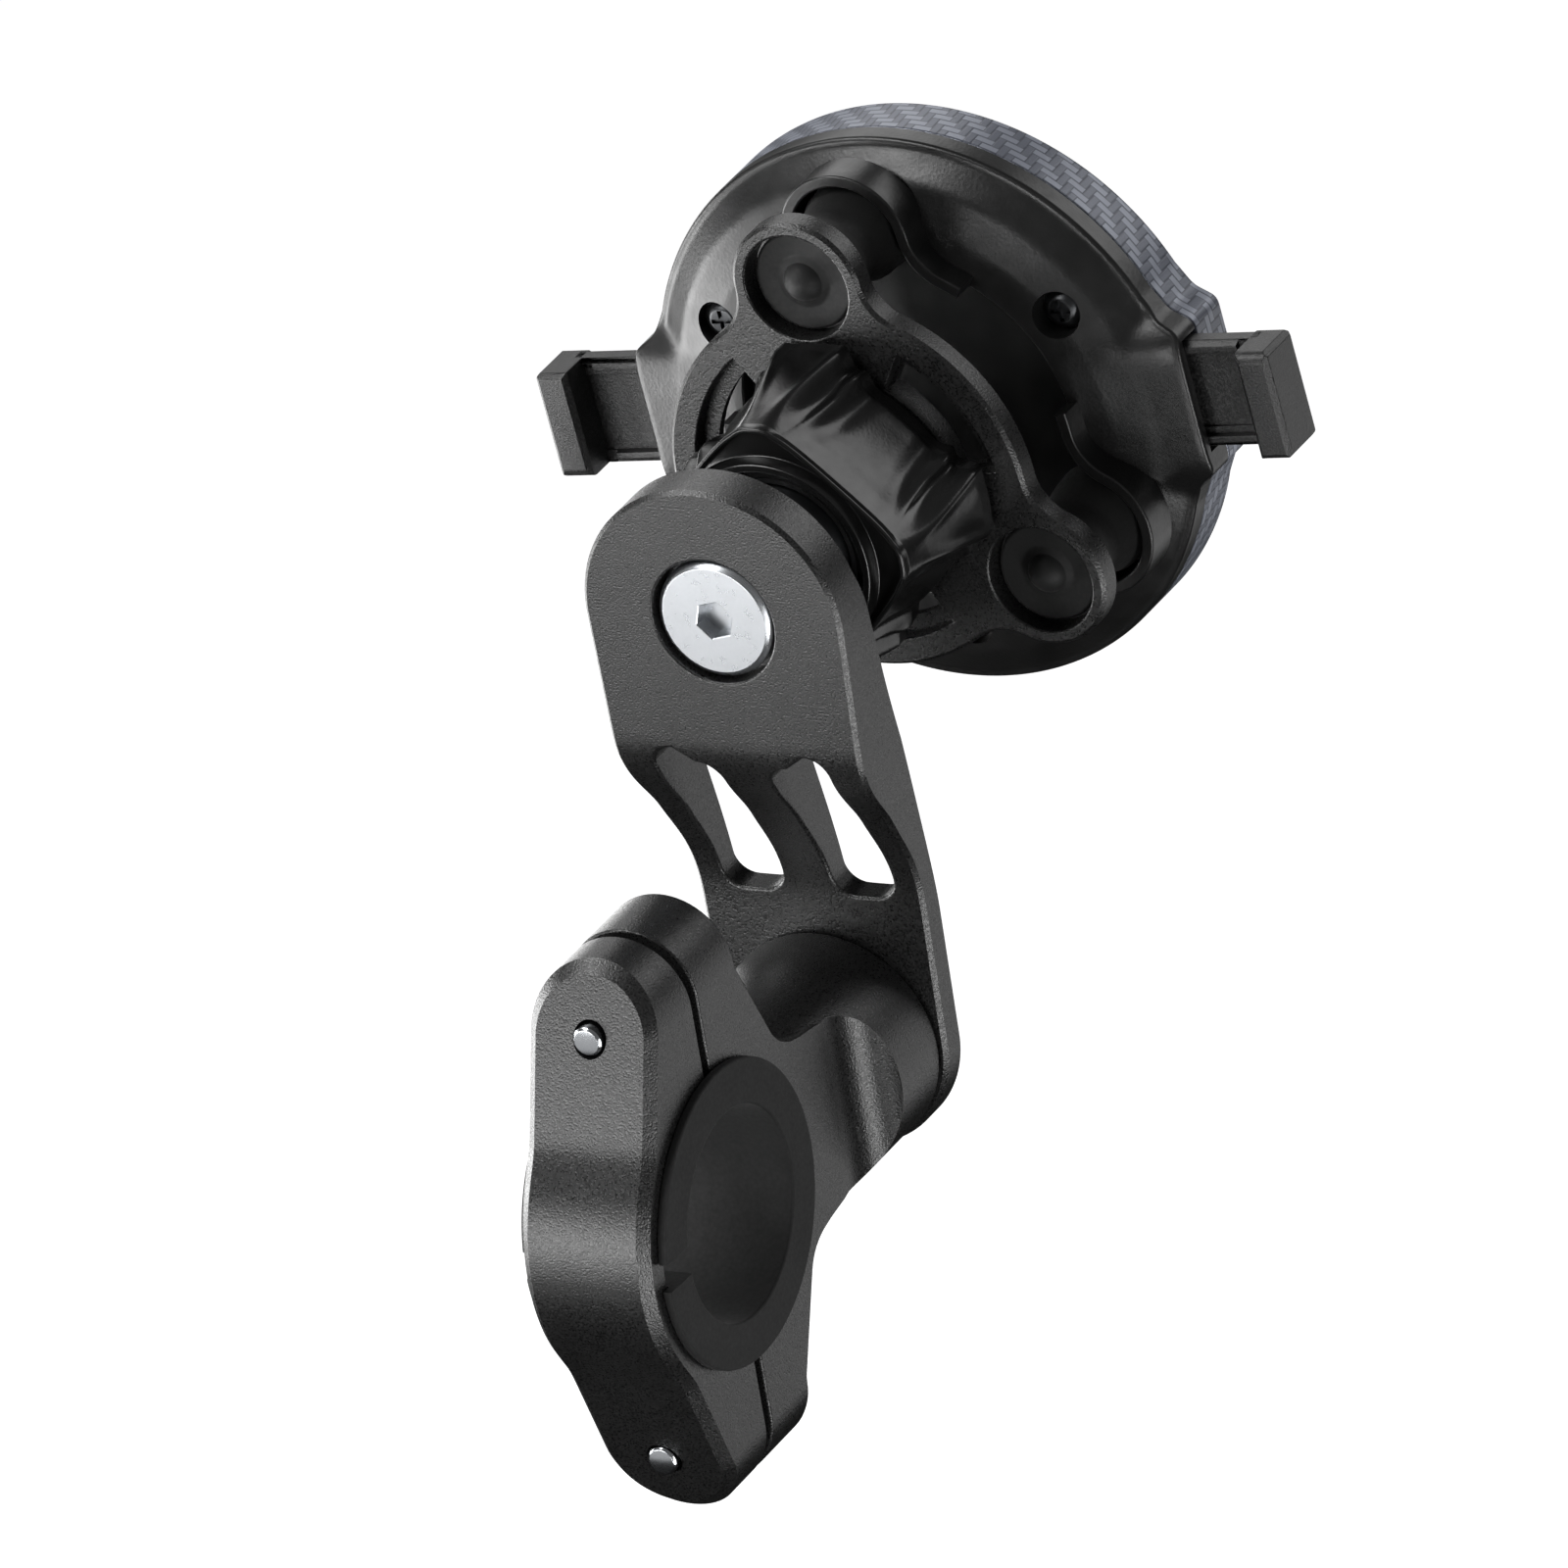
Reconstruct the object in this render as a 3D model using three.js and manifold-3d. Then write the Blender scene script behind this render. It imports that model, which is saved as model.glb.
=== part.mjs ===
// Handlebar phone mount, in millimetres, +Z up.
// Origin: centre of the handlebar bore. +X runs along the handlebar, +Y runs from the bar towards the phone.
import * as THREE from "three";
import { mergeVertices } from "three/addons/utils/BufferGeometryUtils.js";
import Module from "manifold-3d";

const wasm = await Module();
wasm.setup();

// ---------- driving dimensions ----------

const GAP = 0.3; // between pieces that touch on the real object
const rad = THREE.MathUtils.degToRad;

// handlebar clamp
const BAR_R = 11.1; // 22.2 mm handlebar
const SLEEVE_R = 14.5; // outside of the rubber sleeve
const CLAMP_HALF = 7.25; // half the clamp's width along the bar
const SPLIT = 0.6; // half the gap between cap and base
const EAR_Z = 23.8; // clamp screws, above and below the bar
const EAR_R = CLAMP_HALF;
const CAP_EAR_Y = -9.2; // outside of the cap's slanted ears, at the screws
const CAP_SLOPE = 0.38; // how fast the ears slant back towards their ends
const BASE_EAR_Y = 8.9; // back of the base's ears
const CLAMP_R = 18.2; // outside of the cap around the bar
const SCREW_R = 1.6;

// arm between the clamp's boss and the ball joint
const BOSS_R = 12;
const BOSS_Y = 37.2;
const ARM_Z = 51.9; // ball joint above the handlebar
const ARM_FRONT = 27.8; // front face of the arm's upper end
const ARM_REAR = 33.4;
const FOOT_FRONT = 37.5; // front and back of its lower end
const FOOT_REAR = 41;
const ARM_TOP_R = 14.65;
const FOOT_R = 12.6;
const HEAD_R = 6.2; // arm bolt

// ball joint, along Y at height ARM_Z
const BALL_Y = 47;
const BALL_R = 8.6;
const NECK_R = 4.6;
const MOUTH_Y = 42.4; // opening of the socket
const SOCKET_R = 11.2;
const NUT_Y = 41.2; // lip of the lock nut
const NUT_END = 57.6;

// damper and holder, turned about the ball joint's axis
const SPIN = rad(5.9); // the holder's turn about Y at rest
const PLATE_Y = 58.5; // front of the damper plate
const PLATE_T = 3;
const LOBE_AT = 22.2; // lobe centres from the axis
const LOBE_R = 7.3;
const LOBE_HOLE_R = 5.8;
const LOBES = [90, 210, 330];
const PLATE_R = 20.3;
const FILLET_R = 5.5;
const SCREWS = [30, 150, 270];
const SCREW_AT = 23;

const DISC_R = 30.6;
const BOSS_X = 32.1; // flat sides where the jaws come out
const BOSS_HALF = 8.4;
const WALL_Y = 69.5; // front of the raised walls on the cover
const DOME_Y = 72.4; // back of the cover at its middle
const RIM_Y = 76.2;
const JOIN_Y = 78.6; // where cover and front housing meet
const FACE_Y = 84.9; // front face of the housing

// jaws
const JAW_LOW = -5.2;
const JAW_HIGH = 6.7;
const JAW_MID = (JAW_LOW + JAW_HIGH) / 2;
const JAW_Y0 = 75.9;
const JAW_Y1 = 78.1;
const BLOCK_Y = 72.6;
const BLOCK_Y1 = 78.9;
const BLOCK_X0 = 39.3;
const BLOCK_X1 = 43.1;
const BLOCK_EDGE = 0.55; // chamfer along the block's upright edges
const FINGER_X0 = 22.5; // forward finger that grips the phone
const FINGER_X1 = 25.1;
const FINGER_Y = 93;
const TEETH = 12;
const PITCH_R = 3;
const TOOTH = 0.42; // height of a tooth above and below the pitch line

// ---------- making solids ----------

function solid(geometry) {
  const bare = geometry.clone();
  bare.deleteAttribute("normal");
  bare.deleteAttribute("uv");
  const merged = mergeVertices(bare, 1e-4);
  const triVerts = new Uint32Array(merged.index.array);
  const vertProperties = new Float32Array(merged.attributes.position.array);
  return new wasm.Manifold(new wasm.Mesh({ numProp: 3, vertProperties, triVerts }));
}

function part(group, name, shape, material) {
  const mesh = shape.getMesh();
  const geometry = new THREE.BufferGeometry();
  geometry.setAttribute("position", new THREE.BufferAttribute(mesh.vertProperties, 3));
  geometry.setIndex(new THREE.BufferAttribute(mesh.triVerts, 1));
  geometry.computeVertexNormals();
  const made = new THREE.Mesh(geometry, material);
  made.name = name;
  group.add(made);
}

const join = (...solids) => solids.reduce((all, next) => all.add(next));

function box(x0, x1, y0, y1, z0, z1) {
  const geometry = new THREE.BoxGeometry(x1 - x0, y1 - y0, z1 - z0);
  return solid(geometry.translate((x0 + x1) / 2, (y0 + y1) / 2, (z0 + z1) / 2));
}

// A cylinder along Y.
function rod(radius, y0, y1, x = 0, z = 0, sides = 32) {
  const geometry = new THREE.CylinderGeometry(radius, radius, y1 - y0, sides);
  return solid(geometry.translate(x, (y0 + y1) / 2, z));
}

// A closed outline of [radius, y] points, turned about Y.
function turned(outline, sides = 40) {
  const points = [...outline, outline[0]].map(([r, y]) => new THREE.Vector2(r, y));
  return solid(new THREE.LatheGeometry(points, sides));
}

function extruded(shape, depth, bevel, curveSegments) {
  const options = {
    depth: depth - 2 * bevel,
    bevelEnabled: bevel > 0,
    bevelThickness: bevel,
    bevelSize: bevel,
    bevelOffset: -bevel,
    bevelSegments: 1,
    curveSegments,
  };
  return new THREE.ExtrudeGeometry(shape, options).translate(0, 0, bevel);
}

// A flat shape in X and Z, from y0 to y1.
function plate(shape, y0, y1, bevel = 0, curveSegments = 12) {
  const geometry = extruded(shape, y1 - y0, bevel, curveSegments);
  return solid(geometry.rotateX(Math.PI / 2).translate(0, y1, 0));
}

// A side view in Y and Z, from -half to +half along X.
const SIDE_VIEW = new THREE.Matrix4().makeBasis(
  new THREE.Vector3(0, 1, 0),
  new THREE.Vector3(0, 0, 1),
  new THREE.Vector3(1, 0, 0),
);
function bar(shape, half, bevel = 0, curveSegments = 12) {
  const geometry = extruded(shape, 2 * half, bevel, curveSegments);
  return solid(geometry.applyMatrix4(SIDE_VIEW).translate(-half, 0, 0));
}

// A top view in X and Y, from z0 to z1.
function slab(shape, z0, z1, curveSegments = 12) {
  return solid(extruded(shape, z1 - z0, 0, curveSegments).translate(0, 0, z0));
}

// A stadium standing along the second axis, its round ends centred at low and high.
function stadium(radius, low, high) {
  const shape = new THREE.Shape();
  shape.absarc(0, high, radius, 0, Math.PI);
  shape.absarc(0, low, radius, Math.PI, 2 * Math.PI);
  shape.closePath();
  return shape;
}

// A ring sector between two radii, a degrees either side of the direction at.
function sector(inner, outer, at, a) {
  const shape = new THREE.Shape();
  shape.absarc(0, 0, outer, rad(at - a), rad(at + a));
  shape.absarc(0, 0, inner, rad(at + a), rad(at - a), true);
  shape.closePath();
  return shape;
}

// The outline of the damper: a disc with a round lobe in each direction and a fillet on each side of it.
function lobed(discR, lobeR, filletR) {
  const reach = discR + filletR;
  const cosTurn = (reach ** 2 + LOBE_AT ** 2 - (lobeR + filletR) ** 2) / (2 * LOBE_AT * reach);
  const turn = Math.acos(cosTurn);
  const shape = new THREE.Shape();
  for (const degrees of LOBES) {
    const at = rad(degrees);
    const lobe = new THREE.Vector2(LOBE_AT, 0).rotateAround(new THREE.Vector2(), at);
    const before = new THREE.Vector2(reach, 0).rotateAround(new THREE.Vector2(), at - turn);
    const after = new THREE.Vector2(reach, 0).rotateAround(new THREE.Vector2(), at + turn);
    const toLobe = lobe.clone().sub(before).angle();
    const fromLobe = lobe.clone().sub(after).angle();
    shape.absarc(before.x, before.y, filletR, at - turn + Math.PI, toLobe, true);
    shape.absarc(lobe.x, lobe.y, lobeR, toLobe + Math.PI, fromLobe + Math.PI, false);
    shape.absarc(after.x, after.y, filletR, fromLobe, at + turn + Math.PI, true);
  }
  shape.closePath();
  return shape;
}

// The holder's outline: a disc with a flat-ended boss on each side, shrunk by inset.
function holderOutline(inset = 0) {
  const half = BOSS_HALF - inset;
  const corner = 2.4;
  const from = Math.asin((BOSS_HALF + 3.4 - inset) / DISC_R);
  const radius = DISC_R - inset;
  const flat = BOSS_X - inset;
  const shape = new THREE.Shape();
  for (const side of [1, -1]) {
    const x = side * flat;
    const z = side * half;
    shape.lineTo(x - side * corner, -z - side * 0.9);
    shape.quadraticCurveTo(x, -z - side * 0.4, x, -z + side * corner);
    shape.lineTo(x, z - side * corner);
    shape.quadraticCurveTo(x, z + side * 0.4, x - side * corner, z + side * 0.9);
    const start = side > 0 ? from : Math.PI + from;
    shape.absarc(0, 0, radius, start, start + Math.PI - 2 * from);
  }
  shape.curves.shift();
  shape.closePath();
  return shape;
}

// ---------- materials ----------

const finish = (color, roughness, metalness) =>
  new THREE.MeshStandardMaterial({ color, roughness, metalness });
const blackMetal = finish(0x2c2c2d, 0.5, 0.6);
const rubber = finish(0x1c1c1c, 0.85, 0);
const steel = finish(0xb9bec8, 0.2, 1);
const glossBlack = finish(0x141414, 0.25, 0.1);
const blackPlastic = finish(0x262626, 0.5, 0);
const carbon = finish(0x8b92a6, 0.4, 0.2);
const brass = finish(0xa98a4e, 0.4, 1);

// ---------- clamp ----------

// Side view of the cap: slanted ears that run into an arc round the bar.
function capSide() {
  const top = EAR_Z + EAR_R;
  const earFace = (z) => CAP_EAR_Y - CAP_SLOPE * (EAR_Z - z);
  const start = 14.1; // height where an ear begins
  const half = 10; // half the height of the arc
  const bend = new THREE.Vector2(-13.4, 12.75);
  const crest = -Math.sqrt(CLAMP_R ** 2 - half ** 2);
  const turn = Math.atan2(half, -crest);
  const shape = new THREE.Shape();
  shape.moveTo(-SPLIT, -top);
  shape.lineTo(earFace(top), -top);
  shape.lineTo(earFace(start), -start);
  shape.quadraticCurveTo(bend.x, -bend.y, crest, -half);
  shape.absarc(0, 0, CLAMP_R, Math.PI + turn, Math.PI - turn, true);
  shape.quadraticCurveTo(bend.x, bend.y, earFace(start), start);
  shape.lineTo(earFace(top), top);
  shape.lineTo(-SPLIT, top);
  shape.closePath();
  return shape;
}

const frontView = (y0, y1) => plate(stadium(EAR_R, -EAR_Z, EAR_Z), y0, y1, 0.8, 10);
const sideCylinder = (radius, half) => {
  const geometry = new THREE.CylinderGeometry(radius, radius, 2 * half, 64);
  return solid(geometry.rotateZ(Math.PI / 2));
};

function clampCap() {
  const side = bar(capSide(), CLAMP_HALF, 0.8);
  const body = side.intersect(frontView(-CLAMP_R - 1, -SPLIT + 0.8));
  const wide = body.add(side.intersect(box(-9, 9, -CLAMP_R - 1, 0, -17, 17)));
  const screwHoles = [EAR_Z, -EAR_Z].map((z) => rod(SCREW_R + GAP, -30, 1, 0, z, 24));
  return wide.subtract(join(sideCylinder(SLEEVE_R + GAP, 20), ...screwHoles));
}

// The boss narrows to the clamp's width through a hollow flare on each side.
function bossFlare() {
  const flare = 5.6;
  const start = 23.2;
  const shape = new THREE.Shape();
  shape.moveTo(-CLAMP_HALF, 10);
  shape.lineTo(CLAMP_HALF, 10);
  shape.lineTo(CLAMP_HALF, start);
  shape.absarc(CLAMP_HALF + flare, start, flare, Math.PI, rad(96), true);
  shape.lineTo(BOSS_R + 1, BOSS_Y);
  shape.lineTo(-BOSS_R - 1, BOSS_Y);
  shape.absarc(-CLAMP_HALF - flare, start, flare, rad(84), 0, true);
  shape.closePath();
  return slab(shape, -BOSS_R - 1, BOSS_R + 1);
}

function baseSide() {
  const top = EAR_Z + EAR_R;
  const shape = new THREE.Shape();
  shape.moveTo(SPLIT, -top);
  shape.lineTo(BASE_EAR_Y, -top);
  shape.lineTo(BASE_EAR_Y, -23.4);
  shape.lineTo(13.6, -13.6);
  shape.quadraticCurveTo(15, -11.2, 18.4, -10.4);
  shape.lineTo(24, -9.6);
  shape.lineTo(24, 9.6);
  shape.lineTo(18.4, 10.4);
  shape.quadraticCurveTo(15, 11.2, 13.6, 13.6);
  shape.lineTo(BASE_EAR_Y, 23.4);
  shape.lineTo(BASE_EAR_Y, top);
  shape.lineTo(SPLIT, top);
  shape.closePath();
  return shape;
}

function clampBase() {
  const side = bar(baseSide(), CLAMP_HALF, 0.5);
  const ears = side.intersect(frontView(SPLIT - 0.8, 30));
  const middle = side.intersect(box(-9, 9, 0, 30, -17, 17));
  const boss = rod(BOSS_R, 16, BOSS_Y, 0, 0, 64).intersect(bossFlare());
  const holes = [];
  for (const z of [EAR_Z, -EAR_Z]) {
    holes.push(rod(SCREW_R + GAP, -1, 30, 0, z, 24));
    holes.push(rod(3.4 + GAP, 6.4, 30, 0, z, 24));
  }
  const pivotHole = rod(2.6 + GAP, 22, 60, 0, 0, 24);
  return join(ears, middle, boss).subtract(join(sideCylinder(SLEEVE_R + GAP, 20), pivotHole, ...holes));
}

// A cap screw along Y: its tip shows in the cap, its head sits in the base.
function clampScrew(z) {
  const socket = solid(new THREE.CylinderGeometry(1.5, 1.5, 3, 6).translate(0, 10, z));
  const tip = new THREE.SphereGeometry(SCREW_R, 24, 5, 0, 2 * Math.PI, 0, Math.PI).scale(1, 0.2, 1);
  const dome = solid(tip.translate(0, -9.6, z));
  return join(rod(SCREW_R, -9.6, 7, 0, z, 24), dome, rod(3.4, 6.7, 10, 0, z, 24)).subtract(socket);
}

function rubberSleeve() {
  const edge = CLAMP_HALF + 1;
  const flange = CLAMP_HALF + GAP / 3;
  const outline = [
    [BAR_R, -edge],
    [15.85, -edge],
    [15.85, -flange],
    [SLEEVE_R, -flange],
    [SLEEVE_R, flange],
    [15.85, flange],
    [15.85, edge],
    [BAR_R, edge],
  ];
  const ring = turned(outline, 48).rotate([0, 0, -90]);
  const slit = box(-12, 12, -20, -8, -1.5, 1.5).rotate([-3, 0, 0]);
  return ring.subtract(slit);
}

// ---------- arm ----------

// Side view: upper plate, S-bend and foot.
function armSide() {
  const shape = new THREE.Shape();
  const top = ARM_Z + ARM_TOP_R + 1;
  const foot = -FOOT_R - 1;
  shape.moveTo(FOOT_FRONT, foot);
  shape.lineTo(FOOT_REAR, foot);
  shape.lineTo(FOOT_REAR, 14);
  shape.bezierCurveTo(FOOT_REAR, 22, 36.6, 35, 35.2, 45);
  shape.quadraticCurveTo(34, 52, ARM_REAR, 56);
  shape.lineTo(ARM_REAR, top);
  shape.lineTo(ARM_FRONT, top);
  shape.lineTo(ARM_FRONT, 38);
  shape.bezierCurveTo(ARM_FRONT, 33, 31.4, 30.4, 33, 27.4);
  shape.bezierCurveTo(35, 23.6, FOOT_FRONT, 21, FOOT_FRONT, 15);
  shape.closePath();
  return shape;
}

function armFront() {
  const shape = new THREE.Shape();
  shape.absarc(0, ARM_Z, ARM_TOP_R, 0, Math.PI);
  shape.lineTo(-14.15, 35.5);
  shape.bezierCurveTo(-13.7, 29, -13.1, 24, -12.9, 16);
  shape.absarc(0, 0, FOOT_R, Math.PI, 2 * Math.PI);
  shape.lineTo(12.9, 16);
  shape.bezierCurveTo(13.1, 24, 13.7, 29, 14.15, 35.5);
  shape.closePath();
  return shape;
}

// One of the two long windows, with round corners.
function armWindow(side) {
  const [x0, x1, z0, z1, r] = [2.8, 9.9, 16.4, 37, 2.4];
  const shape = new THREE.Shape();
  shape.absarc(x1 - r, z0 + r, r, -Math.PI / 2, 0);
  shape.absarc(x1 - r, z1 - r, r, 0, Math.PI / 2);
  shape.absarc(x0 + r, z1 - r - 1.6, r, Math.PI / 2, Math.PI);
  shape.absarc(x0 + r, z0 + r, r, Math.PI, 1.5 * Math.PI);
  shape.closePath();
  const cut = plate(shape, 20, 50, 0, 5);
  return side > 0 ? cut : cut.mirror([1, 0, 0]);
}

function armBracket() {
  const body = bar(armSide(), 16, 0, 9).intersect(plate(armFront(), 26, 42, 0, 12));
  const boltHole = join(
    rod(3.2, 20, 50, 0, ARM_Z, 24),
    rod(7.1, 20, 30.6, 0, ARM_Z, 40),
    rod(6.9, ARM_REAR, 50, 0, ARM_Z, 32),
  );
  const footHole = rod(2.9, 30, 50, 0, 0, 24);
  return body.subtract(join(boltHole, footHole, armWindow(1), armWindow(-1)));
}

// A low-headed bolt along Y, its hex socket facing -Y.
function lowBolt(headR, headY, headT, shankR, end, hex) {
  const key = new THREE.CylinderGeometry(hex / Math.sqrt(3), hex / Math.sqrt(3), 3.2, 6);
  const head = turned([
    [0, headY],
    [headR - 0.4, headY],
    [headR, headY + 0.4],
    [headR, headY + headT],
    [shankR, headY + headT],
    [shankR, end],
    [0, end],
  ]);
  return head.subtract(solid(key.rotateY(rad(15)).translate(0, headY, 0)));
}

// ---------- ball joint ----------

function arcPoints(centreY, radius, from, to, steps) {
  const points = [];
  for (let i = 0; i <= steps; i++) {
    const a = rad(from + ((to - from) * i) / steps);
    points.push([radius * Math.sin(a), centreY - radius * Math.cos(a)]);
  }
  return points;
}

function ballStem() {
  const start = ARM_REAR + 0.9 + GAP;
  const neckAngle = THREE.MathUtils.radToDeg(Math.asin(NECK_R / BALL_R));
  const outline = [
    [3.1, start],
    [6.6, start],
    [6.6, start + 1.4],
    [NECK_R, start + 3],
    ...arcPoints(BALL_Y, BALL_R, neckAngle, 180, 11).slice(0, -1),
    [0, BALL_Y + BALL_R],
    [0, 44.5],
    [3.1, 44.5],
  ];
  return turned(outline, 32);
}

// The seat is a thin plastic cup between ball and socket.
function ballSeat() {
  const inner = arcPoints(BALL_Y, BALL_R + GAP, 116, 64, 5);
  const outer = arcPoints(BALL_Y, BALL_R + 1.2, 64, 116, 5);
  return turned([...inner, ...outer], 32);
}

function ballSocket() {
  const boreR = BALL_R + 1.2 + GAP;
  const mouth = THREE.MathUtils.radToDeg(Math.acos((BALL_Y - MOUTH_Y) / boreR));
  const bore = arcPoints(BALL_Y, boreR, mouth, 128, 8);
  const outline = [
    [SOCKET_R - 1, MOUTH_Y],
    [SOCKET_R, MOUTH_Y + 1],
    [SOCKET_R, PLATE_Y - GAP],
    [0, PLATE_Y - GAP],
    [0, 56.3],
    [6, 56.3],
    ...bore.reverse(),
  ];
  const slots = [0, 60, 120].map((a) => box(-20, 20, 30, 50, -0.6, 0.6).rotate([0, a, 0]));
  return turned(outline, 36).subtract(join(...slots));
}

// The nut's outside swells into four soft lobes towards the damper.
function lockNut() {
  const outline = [
    [SOCKET_R + GAP, MOUTH_Y + 0.9],
    [10.3, MOUTH_Y - 0.4],
    [10, NUT_Y],
    [12.2, NUT_Y],
    [12.8, 42],
    [12.9, 44],
    [13.2, 47],
    [13.4, 51],
    [13.3, 54.5],
    [12.6, NUT_END],
    [SOCKET_R + GAP, NUT_END],
  ];
  const points = [...outline, outline[0]].map(([r, y]) => new THREE.Vector2(r, y));
  const geometry = new THREE.LatheGeometry(points, 48);
  const position = geometry.attributes.position;
  const vertex = new THREE.Vector3();
  for (let i = 0; i < position.count; i++) {
    vertex.fromBufferAttribute(position, i);
    const radius = Math.hypot(vertex.x, vertex.z);
    const angle = Math.atan2(vertex.z, vertex.x);
    const along = THREE.MathUtils.smoothstep(vertex.y, 43.5, 50);
    const lobe = Math.pow(0.5 + 0.5 * Math.cos(4 * (angle - rad(98))), 1.4);
    const push = radius > 12 ? 1 + along * 0.235 * lobe : 1;
    position.setXYZ(i, vertex.x * push, vertex.y, vertex.z * push);
  }
  return solid(geometry);
}

// ---------- damper ----------

const aroundAxis = (radius, degrees) => {
  const a = rad(degrees);
  return [radius * Math.cos(a), radius * Math.sin(a)];
};

function damperPlate() {
  const body = plate(lobed(PLATE_R, LOBE_R, FILLET_R), PLATE_Y, PLATE_Y + PLATE_T, 0.5, 6);
  const cuts = [];
  for (const degrees of LOBES) {
    const [x, z] = aroundAxis(LOBE_AT, degrees);
    cuts.push(rod(LOBE_HOLE_R, 50, 70, x, z, 36));
  }
  for (const degrees of SCREWS) {
    cuts.push(plate(sector(12.8, 15.7, degrees, 25), 50, 70, 0, 5));
    cuts.push(plate(sector(12.8, 17.4, degrees, 26.5), 50, PLATE_Y + 1.8, 0, 5));
  }
  return body.subtract(join(...cuts));
}

// A rubber plug: its domed face shows in a lobe's hole, its body stands behind the plate.
function grommet(degrees) {
  const [x, z] = aroundAxis(LOBE_AT, degrees);
  const front = PLATE_Y + 0.6;
  const shoulder = PLATE_Y + PLATE_T + 0.9;
  const outline = [
    [0, front],
    [2.3, front + 0.1],
    [2.6, front + 0.7],
    [4.4, front + 0.6],
    [LOBE_HOLE_R - GAP, front + 1.2],
    [LOBE_HOLE_R - GAP, shoulder],
    [5.6, shoulder],
    [5.6, DOME_Y - GAP],
    [1.8, DOME_Y - GAP],
    [1.8, 63.5],
    [0, 63.5],
  ];
  return turned(outline, 20).translate([x, 0, z]);
}

function grommetPin(degrees) {
  const [x, z] = aroundAxis(LOBE_AT, degrees);
  return rod(1.5, 64, 74.2, x, z, 16);
}

// ---------- holder ----------

// A copy for the other side: half a turn about the pinion's axis.
const halfTurn = (shape) =>
  shape.translate([0, 0, -JAW_MID]).rotate([0, 180, 0]).translate([0, 0, JAW_MID]);

function backCover() {
  const rim = plate(holderOutline(), RIM_Y, JOIN_Y, 0.5, 12);
  const dome = turned(
    [
      [0, DOME_Y],
      [19.5, DOME_Y],
      [23, DOME_Y + 0.6],
      [27, DOME_Y + 1.8],
      [29.8, RIM_Y + 0.4],
      [29.8, JOIN_Y - 1],
      [0, JOIN_Y - 1],
    ],
    44,
  );
  const sides = [1, -1].map((side) => {
    const shape = new THREE.Shape();
    shape.moveTo(side * 22, DOME_Y + 0.8);
    shape.lineTo(side * (BOSS_X - 0.8), DOME_Y + 1.9);
    shape.lineTo(side * BOSS_X, DOME_Y + 2.7);
    shape.lineTo(side * BOSS_X, JOIN_Y);
    shape.lineTo(side * 22, JOIN_Y);
    shape.closePath();
    return slab(shape, -BOSS_HALF, BOSS_HALF);
  });
  const outer = plate(lobed(PLATE_R, LOBE_R, FILLET_R), WALL_Y, DOME_Y + 1.4, 0, 5);
  const inner = plate(lobed(PLATE_R - 1.3, LOBE_R - 1.3, FILLET_R + 1.3), 60, DOME_Y + 2, 0, 5);
  const breaks = SCREWS.map((at) => plate(sector(10, 24, at, 24), 60, DOME_Y - GAP, 0, 4));
  const walls = outer.subtract(join(inner, ...breaks));
  const screwPosts = SCREWS.map((at) => rod(4, DOME_Y + 1, JOIN_Y - 1, ...aroundAxis(SCREW_AT, at), 16));
  const cavity = turned([
    [0, DOME_Y + 1.8],
    [19, DOME_Y + 1.8],
    [27.6, DOME_Y + 3.8],
    [28.8, RIM_Y + 0.9],
    [28.8, 90],
    [0, 90],
  ]);
  const slot = box(-40, 40, JAW_Y0 - GAP, 90, JAW_LOW - GAP, JAW_HIGH + GAP);
  const axleBoss = rod(2.4, DOME_Y + 1, JAW_Y0 - GAP, 0, JAW_MID);
  const holes = SCREWS.flatMap((at) => {
    const [x, z] = aroundAxis(SCREW_AT, at);
    return [rod(1.3, 60, 90, x, z, 10), rod(2.6, 60, DOME_Y + 3, x, z, 20)];
  });
  const pinHoles = LOBES.map((at) => rod(1.8, 60, 90, ...aroundAxis(LOBE_AT, at), 10));
  const shell = join(rim, dome, ...sides).subtract(cavity.add(slot));
  const axleHole = rod(1.1 + GAP, DOME_Y + 0.9, 90, 0, JAW_MID, 20);
  return join(shell, walls, ...screwPosts, axleBoss).subtract(join(axleHole, ...holes, ...pinHoles));
}

function coverScrew(degrees) {
  const head = DOME_Y + 1.6;
  const [x, z] = aroundAxis(SCREW_AT, degrees);
  const cross = join(box(-1.2, 1.2, head - 1, head + 0.5, -0.25, 0.25), box(-0.25, 0.25, head - 1, head + 0.5, -1.2, 1.2));
  const body = turned(
    [
      [0, head],
      [1.3, head],
      [2.1, head + 0.6],
      [2.1, head + 1.1],
      [1, head + 1.1],
      [1, 82],
      [0, 82],
    ],
    16,
  );
  return body.subtract(cross).translate([x, 0, z]);
}

function frontHousing() {
  const back = JOIN_Y + 0.15;
  const body = plate(holderOutline(), back, FACE_Y, 0.6, 12);
  const cavity = rod(28.8, 60, FACE_Y - 1.6, 0, 0, 48);
  const padSeat = rod(19.3, FACE_Y - 0.6, 100, 0, 0, 48);
  const posts = SCREWS.map((at) => rod(2.6, back, FACE_Y - 1, ...aroundAxis(SCREW_AT, at), 20));
  const screwHoles = SCREWS.map((at) => rod(1.3, 60, 82.6, ...aroundAxis(SCREW_AT, at), 16));
  const slot = () => box(FINGER_X0 - 1.4, 40, 60, 100, JAW_LOW - 0.4, 2.4);
  const slots = [slot(), halfTurn(slot())];
  const axlePost = rod(2.2, 81.2, FACE_Y - 1, 0, JAW_MID, 20);
  const axleHole = rod(1.1 + GAP, 60, FACE_Y - 1.9, 0, JAW_MID, 20);
  const shell = join(body.subtract(cavity), ...posts, axlePost);
  return shell.subtract(join(padSeat, axleHole, ...screwHoles, ...slots));
}

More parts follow.
